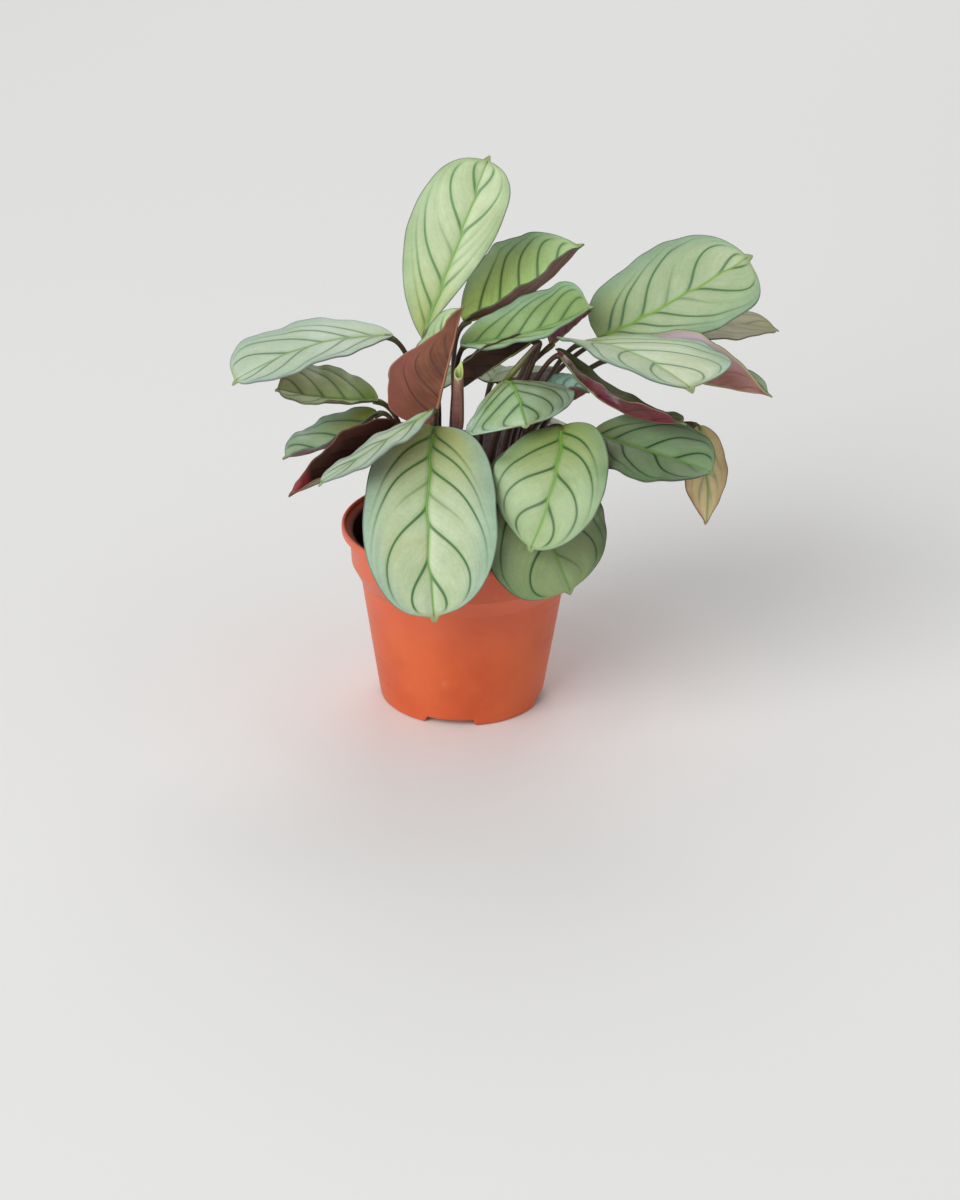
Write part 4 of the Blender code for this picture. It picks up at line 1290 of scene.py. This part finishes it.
@dataclass
class Tube:
    """A closed round tube along points in millimetres."""

    points: np.ndarray
    radii: np.ndarray
    sides: int

    def frames(self) -> list[Matrix]:
        """Return a turn for each point that keeps the tube from twisting.

        Returns:
            The turns.
        """
        course = unit(np.gradient(self.points, axis=0))
        turn = Vector((0.0, 0.0, 1.0)).rotation_difference(Vector(course[0])).to_matrix()
        turns = [turn]
        for before, after in zip(course[:-1], course[1:]):
            turn = Vector(before).rotation_difference(Vector(after)).to_matrix() @ turn
            turns.append(turn)
        return turns

    def build(self) -> tuple[bmesh.types.BMesh, np.ndarray]:
        """Build the tube: a circle extruded ring by ring, and closed at both ends.

        Returns:
            The mesh, and for each of its points the number of the ring that it is on.
        """
        bm = bmesh.new()
        places, turns = in_frame(self.points), self.frames()
        bmesh.ops.create_circle(bm, cap_ends=False, segments=self.sides, radius=1.0)
        for vertex in bm.verts:
            vertex.co = Vector(places[0]) + turns[0] @ (vertex.co * self.radii[0] * MM)
        edges = bm.edges[:]
        for index in range(1, len(places)):
            made = bmesh.ops.extrude_edge_only(bm, edges=edges)["geom"]
            ring = [item for item in made if isinstance(item, bmesh.types.BMVert)]
            edges = [item for item in made if isinstance(item, bmesh.types.BMEdge)
                     and all(vertex in ring for vertex in item.verts)]
            back = turns[index - 1].transposed()
            grow = self.radii[index] / self.radii[index - 1]
            before, here = Vector(places[index - 1]), Vector(places[index])
            for vertex in ring:
                vertex.co = here + turns[index] @ (back @ (vertex.co - before)) * grow
        ends = [edge for edge in bm.edges if edge.is_boundary]
        bmesh.ops.holes_fill(bm, edges=ends, sides=self.sides)
        bmesh.ops.recalc_face_normals(bm, faces=bm.faces[:])
        return bm, np.repeat(np.arange(len(places)), self.sides)


@dataclass
class NewLeaf:
    """The newest leaf, still rolled up in a slim spear, on its own stalk."""

    root: tuple = (-1.5, -5.0, 38.0)
    low: tuple = (-1.5, -7.5, 73.5)
    tip: tuple = (-1.5, -6.0, 88.0)
    radius: float = 1.55
    turns: float = 1.7
    first_angle: float = 2.4
    inward: float = 0.2
    slant: float = 2.2
    shoulder: float = 4.0
    flap: float = 1.7
    flap_place: float = 0.42
    flap_width: float = 0.06
    swell_places: tuple = (0, 0.12, 0.35, 0.6, 0.8, 1.0)
    swell: tuple = (0.9, 1.0, 0.97, 0.9, 0.82, 0.76)
    shoulder_width: float = 0.12
    sheet_width: float = 6.0
    stalk_radius: float = 1.0
    stalk_steps: int = 18
    stalk_depth: float = 4.0
    stalk_sides: int = 12
    rows: int = 60
    columns: int = 46
    wall: float = 0.16
    skin: BackSkin = BackSkin(main=seen(150, 104, 88), dark=seen(112, 70, 60),
                              bright=seen(176, 136, 112), margin=seen(140, 104, 82),
                              tip=seen(184, 192, 128), edge=seen(108, 62, 58), edge_share=0.8,
                              threads=9.0, thread_share=1.1)
    inner: TopSkin = TopSkin(centre=seen(190, 208, 128), pale=seen(206, 220, 150),
                             edge=seen(180, 200, 116), tip=seen(200, 210, 140))

    def build(self) -> bpy.types.Object:
        """Build the rolled blade: a sheet wound round its own axis, wider in the middle.

        Returns:
            The blade's piece.
        """
        bm = bmesh.new()
        bmesh.ops.create_grid(bm, x_segments=self.rows, y_segments=self.columns, size=0.5)
        low, tip = np.array(self.low), np.array(self.tip)
        course = unit(tip - low)
        side = unit(np.cross(course, (1.0, 0.0, 0.0)))
        flank = np.cross(side, course)
        along = np.array([v.co.x + 0.5 for v in bm.verts])
        round_it = np.array([v.co.y + 0.5 for v in bm.verts])
        swell = np.interp(along, self.swell_places, self.swell)
        angle = 2 * pi * self.turns * round_it + self.first_angle
        radius = self.radius * swell * (1 - self.inward * round_it)
        cut = self.slant * (0.5 - 0.5 * np.cos(angle)) * along ** 3
        cut += self.shoulder * np.clip(1 - round_it / self.shoulder_width, 0, 1) ** 2 * along ** 3
        flap = np.exp(-((round_it - self.flap_place) / self.flap_width) ** 2)
        cut -= self.flap * flap * along ** 6
        points = (low + along[:, None] * (tip - low) - cut[:, None] * course
                  + (radius * np.cos(angle))[:, None] * side
                  + (radius * np.sin(angle))[:, None] * flank)
        for vertex, point in zip(bm.verts, in_frame(points)):
            vertex.co = point
        bm.normal_update()
        centre = Vector(in_frame((low + tip) / 2))
        outward = sum((face.normal.dot(face.calc_center_median() - centre) for face in bm.faces))
        if outward < 0:
            bmesh.ops.reverse_faces(bm, faces=bm.faces[:])
        mesh = to_mesh(bm, "leaf_spear_blade")
        everywhere = np.ones(len(along))
        carry(mesh, Domain.POINT, {
            "along": along, "across": everywhere, "from_midrib": everywhere * 9.0,
            "from_margin": round_it * self.sheet_width,
            "vein_phase": along * 3.0 + round_it * 0.6 + 0.5,
            "vein_scale": everywhere * 20.0, "vein_strength": everywhere * 0.0})
        back, top = self.skin.make("new_leaf_outside"), self.inner.make("new_leaf_inside")
        piece = place_piece("leaf_spear_blade", mesh, "leaf_spear", (back, top))
        thicken(piece, self.wall, -1.0)
        return piece

    def build_stalk(self) -> bpy.types.Object:
        """Build the spear's own stalk, up into the rolled blade.

        Returns:
            The stalk's piece.
        """
        root, low = np.array(self.root), np.array(self.low)
        u = np.linspace(0, 1, self.stalk_steps)
        points = np.concatenate(((root - (0, 0, self.stalk_depth))[None],
                                 root + u[:, None] * (low - root), (low + (0, 0.3, 4.0))[None]))
        radii = np.concatenate(([1.0], 1.0 + 0.1 * u, [0.6])) * self.stalk_radius
        bm, ring = Tube(points, radii, self.stalk_sides).build()
        mesh = to_mesh(bm, "leaf_spear_stalk")
        place = np.concatenate(([0.0], u * 0.8, [0.85]))[ring]
        carry(mesh, Domain.POINT, {"place": place, "upper": place * 0.0, "turn": place * 0.0})
        return place_piece("leaf_spear_stalk", mesh, "leaf_spear",
                           (DARK_STALK.make("new_leaf_stalk"),))


@dataclass
class NurseryPot:
    """The moulded pot: rolled lip, band, stepped taper, raised floor and notched foot."""

    rim_radius: float = 30.0
    rim_height: float = 46.0
    bead: float = 0.45
    band_radius: float = 28.0
    band_low_radius: float = 27.6
    band_top: float = 44.0
    band_bottom: float = 36.1
    step_radius: float = 25.2
    step_bottom: float = 31.3
    foot_radius: float = 20.5
    wall: float = 0.9
    foot_width: float = 1.5
    floor_low: float = 1.8
    floor_top: float = 2.9
    notch_count: int = 4
    notch_width: float = 12.4
    notch_height: float = 1.4
    notch_first_angle: float = -98.0
    drain_count: int = 6
    drain_radius: float = 2.2
    drain_circle: float = 11.5
    drain_sides: int = 36
    notch_slope: float = 0.25
    notch_reach: tuple = (1.8, 1.3)
    # Where the painted shade of the inside wall starts below the rim, and how far it takes to fade in, in
    # millimetres.
    inside_start: float = 0.6
    inside_shade_fade: float = 0.7
    steps: int = 240
    crease: float = 50.0

    def wall_radius(self, height: float) -> float:
        """Return the outer radius at a height below the band."""
        return self.foot_radius + (self.step_radius - self.foot_radius) * height / self.step_bottom

    def arc(self, centre: tuple[float, float], radius: float, first: float, last: float,
            count: int = 6) -> list[tuple[float, float]]:
        """Return points on a rounded corner.

        Args:
            centre: The corner's centre, as radius and height.
            radius: The corner's own radius.
            first: The first angle, in degrees.
            last: The last angle, in degrees.
            count: The number of points.

        Returns:
            The points, as radii and heights.
        """
        angles = [radians(first + (last - first) * i / (count - 1)) for i in range(count)]
        return [(centre[0] + radius * cos(a), centre[1] + radius * sin(a)) for a in angles]

    def inside(self) -> list[tuple[float, float]]:
        """Return the inner profile, from the middle of the floor to the lip.

        Returns:
            The points, as radii and heights.
        """
        floor = self.wall_radius(self.floor_top) - self.wall
        steps = [(self.step_radius - self.wall - 0.1, self.step_bottom - 0.3),
                 (self.step_radius - self.wall + 0.15, self.step_bottom + 0.3),
                 (self.band_low_radius - self.wall - 0.15, self.band_bottom),
                 (self.band_low_radius - self.wall, self.band_bottom + 0.5),
                 (self.band_radius - self.wall, self.band_top),
                 (self.band_radius - self.wall + 0.2, self.band_top + 0.4)]
        return ([(0.0, self.floor_top), (floor * 0.6, self.floor_top)]
                + self.arc((floor - 0.8, self.floor_top + 0.8), 0.8, -90, -5)
                + steps + [(self.rim_radius - 2 * self.bead, self.band_top + 1.0)])

    def outside(self) -> list[tuple[float, float]]:
        """Return the outer profile, from the lip down and under the floor.

        Returns:
            The points, as radii and heights.
        """
        lip = (self.rim_radius - 0.25, self.band_top + 0.35)
        return (self.arc(lip, 0.25, 0, -90, 4)
                + self.arc((self.band_radius + 0.3, self.band_top - 0.2), 0.3, 90, 180, 4)
                + [(self.band_radius - 0.02, self.band_top - 1.0)]
                + self.arc((self.band_low_radius - 0.35, self.band_bottom + 0.3), 0.35, 0, -50, 4)
                + self.arc((self.step_radius + 0.35, self.step_bottom + 0.2), 0.35, 130, 185, 4)
                + [(self.wall_radius(24.0), 24.0), (self.wall_radius(12.0), 12.0),
                   (self.wall_radius(2.5), 2.5), (self.wall_radius(0.9), 0.9)]
                + self.arc((self.foot_radius - 0.25, 0.25), 0.25, 0, -90, 4)
                + self.arc((self.foot_radius - self.foot_width + 0.2, 0.2), 0.2, -90, -180, 4)
                + [(self.foot_radius - self.foot_width, self.floor_low),
                   (self.foot_radius * 0.6, self.floor_low), (0.0, self.floor_low)])

    def outline(self) -> list[tuple[float, float]]:
        """Return the outer wall as heights with their radii, from the foot to the lip."""
        return [(0.0, self.foot_radius), (self.step_bottom, self.step_radius),
                (self.band_bottom, self.band_low_radius), (self.band_top, self.band_radius),
                (self.rim_height, self.rim_radius)]

    def notch_edges(self) -> list[float]:
        """Return the angles of the notches' sides.

        Returns:
            Radians, with each notch's two sides one after the other.
        """
        half = self.notch_width / 2 / self.foot_radius
        middles = [radians(self.notch_first_angle) + 2 * pi * i / self.notch_count
                   for i in range(self.notch_count)]
        return [middle + side * half for middle in middles for side in (-1, 1)]

    def cut_notches(self, bm: bmesh.types.BMesh) -> None:
        """Raise the foot's edge between the sides of each notch, with steep rounded sides.

        Args:
            bm: The pot's bmesh.
        """
        edges = self.notch_edges()
        deep, high = self.notch_reach
        for vertex in bm.verts:
            out = hypot(vertex.co.x, vertex.co.y) / MM
            if vertex.co.z / MM > high or out < self.foot_radius - deep:
                continue
            angle = atan2(vertex.co.y, vertex.co.x)
            inner = -1e9
            for first, last in zip(edges[0::2], edges[1::2]):
                away = abs((angle - (first + last) / 2 + pi) % (2 * pi) - pi)
                inner = max(inner, ((last - first) / 2 - away) * self.foot_radius)
            share = ease(min(max(inner / self.notch_slope + 0.5, 0.0), 1.0))
            vertex.co.z += (self.notch_height * MM - vertex.co.z * 0.6) * share

    def cut_drains(self, pot: bpy.types.Object) -> None:
        """Cut the drain holes through the floor, and keep the result as the pot's mesh.

        Args:
            pot: The pot's piece.
        """
        bm = bmesh.new()
        for index in range(self.drain_count):
            angle = 2 * pi * (index + 0.5) / self.drain_count
            made = bmesh.ops.create_cone(bm, cap_ends=True, segments=self.drain_sides, depth=6 * MM,
                                         radius1=self.drain_radius * MM,
                                         radius2=self.drain_radius * MM)
            spot = np.array((self.drain_circle * cos(angle), self.drain_circle * sin(angle),
                             (self.floor_low + self.floor_top) / 2))
            bmesh.ops.translate(bm, vec=Vector(in_frame(spot)), verts=made["verts"])
        cutter = link("drains", to_mesh(bm, "drains", smooth=False))
        cut = pot.modifiers.new("drains", "BOOLEAN")
        cut.operation = "DIFFERENCE"
        cut.solver = "EXACT"
        cut.object = cutter
        bpy.context.view_layer.update()
        evaluated = pot.evaluated_get(bpy.context.evaluated_depsgraph_get())
        pot.data = bpy.data.meshes.new_from_object(evaluated)
        pot.modifiers.clear()
        bpy.data.objects.remove(cutter, do_unlink=True)

    def inside_shade_shares(self, bm: bmesh.types.BMesh) -> np.ndarray:
        """Return how far each point of the pot takes the painted shade of its inside wall.

        Args:
            bm: The pot's bmesh, round the pot's own axis.

        Returns:
            Shares from 0 to 1, which rise smoothly below the lip.
        """
        heights, radii = zip(*self.outline())
        shares = []
        for vertex in bm.verts:
            radius, height = hypot(vertex.co.x, vertex.co.y) / MM, vertex.co.z / MM
            outer = np.interp(height, heights, radii)
            within = radius < outer - self.wall / 2 and height > self.floor_low + self.wall / 2
            below_lip = (self.rim_height - self.inside_start - height) / self.inside_shade_fade
            shares.append(min(max(below_lip, 0.0), 1.0) if within else 0.0)
        return np.array(shares)

    def build(self) -> bpy.types.Object:
        """Build the pot: its profile spun round its axis, then notched and drilled.

        Returns:
            The pot's piece.
        """
        lip = self.arc((self.rim_radius - self.bead, self.rim_height - self.bead), self.bead,
                       180, 0, 9)
        profile = self.inside() + lip + self.outside()
        bm = bmesh.new()
        chain = [bm.verts.new((radius * MM, 0.0, height * MM)) for radius, height in profile]
        edges = [bm.edges.new(pair) for pair in zip(chain[:-1], chain[1:])]
        bmesh.ops.spin(bm, geom=chain + edges, cent=(0, 0, 0), axis=(0, 0, 1), angle=2 * pi,
                       steps=self.steps, use_merge=True, use_duplicate=False)
        bmesh.ops.remove_doubles(bm, verts=bm.verts[:], dist=1e-6)
        bmesh.ops.recalc_face_normals(bm, faces=bm.faces[:])
        self.cut_notches(bm)
        # The share of painted shade on the inside wall, carried as inner for the pot's skin.
        inner = self.inside_shade_shares(bm)
        bmesh.ops.translate(bm, vec=(AXIS_X * MM, AXIS_Y * MM, 0.0), verts=bm.verts[:])
        mesh = to_mesh(bm, "pot_moulding", smooth=False)
        carry(mesh, Domain.POINT, {"inner": inner})
        pot = place_piece("pot_moulding", mesh, "pot",
                          (PotSkin().make("terracotta_plastic"),))
        self.cut_drains(pot)
        pot.data.shade_smooth()
        pot.data.set_sharp_from_angle(angle=radians(self.crease))
        return pot


@dataclass
class SoilBed:
    """The soil that fills the pot, with a rough top, and loose crumbs on it."""

    top: float = 38.0
    dome: float = 0.4
    radius: float = 26.4
    floor: float = 3.2
    floor_radius: float = 19.8
    cells: int = 170
    lumps: float = 0.55
    fine_share: float = 0.5
    edge_width: float = 0.06
    edge_drop: float = 0.7
    crumbs: int = 420
    crumb_sizes: tuple = (0.25, 0.75)
    crumb_unevenness: float = 0.22
    seed: int = 7

    def rough(self, x: float, y: float) -> float:
        """Return the height of the soil's lumps at a place.

        Args:
            x: Millimetres from the pot's axis.
            y: Millimetres from the pot's axis.

        Returns:
            Millimetres.
        """
        coarse = noise.fractal(Vector((x * 0.35, y * 0.35, 1.7)), 0.8, 2.0, 4)
        fine = noise.fractal(Vector((x * 1.5, y * 1.5, 5.1)), 0.7, 2.0, 3)
        return self.lumps * (coarse + self.fine_share * fine)

    def build(self) -> bpy.types.Object:
        """Build the bed: a square grid drawn out to a disc, with walls down to the pot's floor.

        Returns:
            The bed's piece.
        """
        bm = bmesh.new()
        bmesh.ops.create_grid(bm, x_segments=self.cells, y_segments=self.cells, size=1.0)
        for vertex in bm.verts:
            x, y = vertex.co.x, vertex.co.y
            disc_x, disc_y = x * (1 - y * y / 2) ** 0.5, y * (1 - x * x / 2) ** 0.5
            out = hypot(disc_x, disc_y)
            place_x, place_y = disc_x * self.radius, disc_y * self.radius
            inward = min(max((1 - out) / self.edge_width, 0.0), 1.0)
            height = self.top + self.dome * (1 - out) - self.edge_drop * out ** 3
            height += self.rough(place_x, place_y) * (0.3 + 0.7 * inward)
            vertex.co = Vector(in_frame(np.array((place_x, place_y, height))))
        rim = [edge for edge in bm.edges if edge.is_boundary]
        middle = Vector((AXIS_X * MM, AXIS_Y * MM, 0.0))
        levels = [(self.radius, 34.0), (24.0, 31.2), (self.floor_radius, self.floor)]
        for radius, height in levels:
            made = bmesh.ops.extrude_edge_only(bm, edges=rim)
            ring = [item for item in made["geom"] if isinstance(item, bmesh.types.BMVert)]
            rim = [item for item in made["geom"] if isinstance(item, bmesh.types.BMEdge)
                   and item.is_boundary]
            for vertex in ring:
                flat = (vertex.co - middle) * Vector((1, 1, 0))
                vertex.co = middle + flat.normalized() * radius * MM + Vector((0, 0, height * MM))
        bmesh.ops.contextual_create(bm, geom=rim)
        bmesh.ops.recalc_face_normals(bm, faces=bm.faces[:])
        mesh = to_mesh(bm, "soil_bed")
        return place_piece("soil_bed", mesh, "soil", (SoilSkin().make("moist_peat"),))

    def build_crumbs(self) -> bpy.types.Object:
        """Build the loose crumbs: small uneven lumps that sit in the soil's top.

        Returns:
            The crumbs, as one piece.
        """
        draw = np.random.default_rng(self.seed)
        bm = bmesh.new()
        for _ in range(self.crumbs):
            angle, out = draw.uniform(0, 2 * pi), self.radius * 0.97 * draw.uniform(0, 1) ** 0.5
            x, y = out * cos(angle), out * sin(angle)
            size = draw.uniform(*self.crumb_sizes)
            made = bmesh.ops.create_icosphere(bm, subdivisions=1, radius=size * MM)
            stretch = Vector((draw.uniform(0.7, 1.6), draw.uniform(0.7, 1.3), draw.uniform(0.6, 1)))
            for vertex in made["verts"]:
                vertex.co *= 1 + draw.uniform(-self.crumb_unevenness, self.crumb_unevenness)
            bmesh.ops.scale(bm, vec=stretch, verts=made["verts"])
            turn = Matrix.Rotation(draw.uniform(0, 2 * pi), 3, "Z")
            bmesh.ops.rotate(bm, cent=(0, 0, 0), matrix=turn, verts=made["verts"])
            height = self.top + self.dome * (1 - out / self.radius) + self.rough(x, y) + size * 0.2
            height -= self.edge_drop * (out / self.radius) ** 3
            spot = in_frame(np.array((x, y, height)))
            bmesh.ops.translate(bm, vec=Vector(spot), verts=made["verts"])
        mesh = to_mesh(bm, "soil_crumbs", smooth=False)
        return place_piece("soil_crumbs", mesh, "soil",
                           (SoilSkin(main=seen(66, 46, 34)).make("peat_crumbs"),))


@dataclass(frozen=True)
class Lamp:
    """One soft square light, with its place and the length of its sides in metres, and its watts."""

    name: str
    place: tuple[float, float, float]
    size: float
    power: float


@dataclass
class Studio:
    """A pale floor, soft lights and a camera where the photograph was taken from."""

    tilt: float = 25.1
    lean: float = 0.9
    lens: float = 72.0
    across: float = -4.7
    down: float = 22.3
    away: float = 610.1
    floor_size: float = 14.0
    floor_drop: float = 0.0002
    look_height: float = 0.06
    world: float = 0.38
    lamps: tuple[Lamp, ...] = (Lamp("key", (-1.3, -1.5, 1.35), 1.7, 37.0),
                               Lamp("fill", (1.6, -0.7, 1.0), 1.2, 0.8),
                               Lamp("back", (0.2, 1.6, 1.4), 1.2, 9.0))

    def build_camera(self) -> None:
        """Place the camera."""
        ce, se = cos(radians(self.tilt)), sin(radians(self.tilt))
        cr, sr = cos(radians(self.lean)), sin(radians(self.lean))
        right = Vector((cr, sr * se, sr * ce))
        lower = Vector((sr, -cr * se, -cr * ce))
        ahead = Vector((0.0, ce, -se))
        spot = -self.across * right - self.down * lower - self.away * ahead
        data = bpy.data.cameras.new("camera")
        data.lens = self.lens
        data.sensor_width = 36.0
        data.clip_start = 0.01
        camera = link("camera", data)
        turn = Matrix((right, -lower, -ahead)).transposed().to_4x4()
        place = Matrix.Translation((spot + Vector((AXIS_X, AXIS_Y, 0.0))) * MM)
        camera.matrix_world = place @ turn
        bpy.context.scene.camera = camera

    def build_lamp(self, lamp: Lamp) -> None:
        """Hang one light so that it looks at the plant.

        Args:
            lamp: The light.
        """
        data = bpy.data.lights.new(lamp.name, "AREA")
        data.shape = "SQUARE"
        data.size = lamp.size
        data.energy = lamp.power
        light = link(lamp.name, data)
        look = Vector((0.0, 0.0, self.look_height)) - Vector(lamp.place)
        turn = look.to_track_quat("-Z", "Y").to_matrix().to_4x4()
        light.matrix_world = Matrix.Translation(lamp.place) @ turn

    def build_floor(self) -> None:
        """Lay the floor."""
        bm = bmesh.new()
        bmesh.ops.create_grid(bm, x_segments=2, y_segments=2, size=self.floor_size / 2)
        mesh = to_mesh(bm, "floor", smooth=False)
        mesh.materials.append(Recipe("floor_paint").finish((0.93, 0.93, 0.92), 0.7))
        floor = link("floor", mesh)
        floor.location = (0.0, 0.0, -self.floor_drop)

    def build(self) -> None:
        """Set up the floor, the lights, the surroundings and the camera."""
        self.build_floor()
        for lamp in self.lamps:
            self.build_lamp(lamp)
        world = bpy.data.worlds.new("surroundings")
        world.use_nodes = True
        background = world.node_tree.nodes["Background"]
        background.inputs["Color"].default_value = (1.0, 1.0, 1.0, 1.0)
        background.inputs["Strength"].default_value = self.world
        bpy.context.scene.world = world
        bpy.context.scene.view_settings.view_transform = "Standard"
        self.build_camera()


class Wardrobe:
    """Makes each skin's material once, and hands it out again."""

    def __init__(self) -> None:
        """Start with no materials."""
        self.made: dict[Any, bpy.types.Material] = {}

    def get(self, skin: Any, name: str) -> bpy.types.Material:
        """Return a skin's material.

        Args:
            skin: The skin.
            name: The name that its material gets when it is made.

        Returns:
            The material.
        """
        if skin not in self.made:
            self.made[skin] = skin.make(name)
        return self.made[skin]


def report(piece: bpy.types.Object) -> None:
    """Say which piece was made."""
    LOG.info("%s: %d faces", piece.name, len(piece.data.polygons))


def build_leaves(leaves: Sequence[Leaf]) -> None:
    """Build every leaf, as a blade and a stalk.

    Args:
        leaves: The leaves.
    """
    wardrobe = Wardrobe()
    for number, leaf in enumerate(leaves):
        shape = LeafShape(replace(leaf, seed=number))
        top = wardrobe.get(leaf.top, leaf.name + "_top")
        back = wardrobe.get(leaf.back, leaf.name + "_underside")
        blade = BladePiece(shape).build(top, back)
        stalk = StalkPiece(shape).build(wardrobe.get(leaf.stalk, leaf.name + "_stalk_skin"))
        report(blade)
        report(stalk)


def write_sizes() -> None:
    """Bring the view layer up to date."""
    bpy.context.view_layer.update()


def main() -> None:
    """Build the dressed plant and its studio."""
    logging.basicConfig(level=logging.INFO, format="%(name)s: %(message)s")
    Studio().build()
    report(NurseryPot().build())
    soil = SoilBed()
    report(soil.build())
    report(soil.build_crumbs())
    build_leaves(LEAVES)
    new_leaf = NewLeaf()
    report(new_leaf.build())
    report(new_leaf.build_stalk())
    bpy.context.view_layer.update()
    write_sizes()


if __name__ == "__main__":
    main()
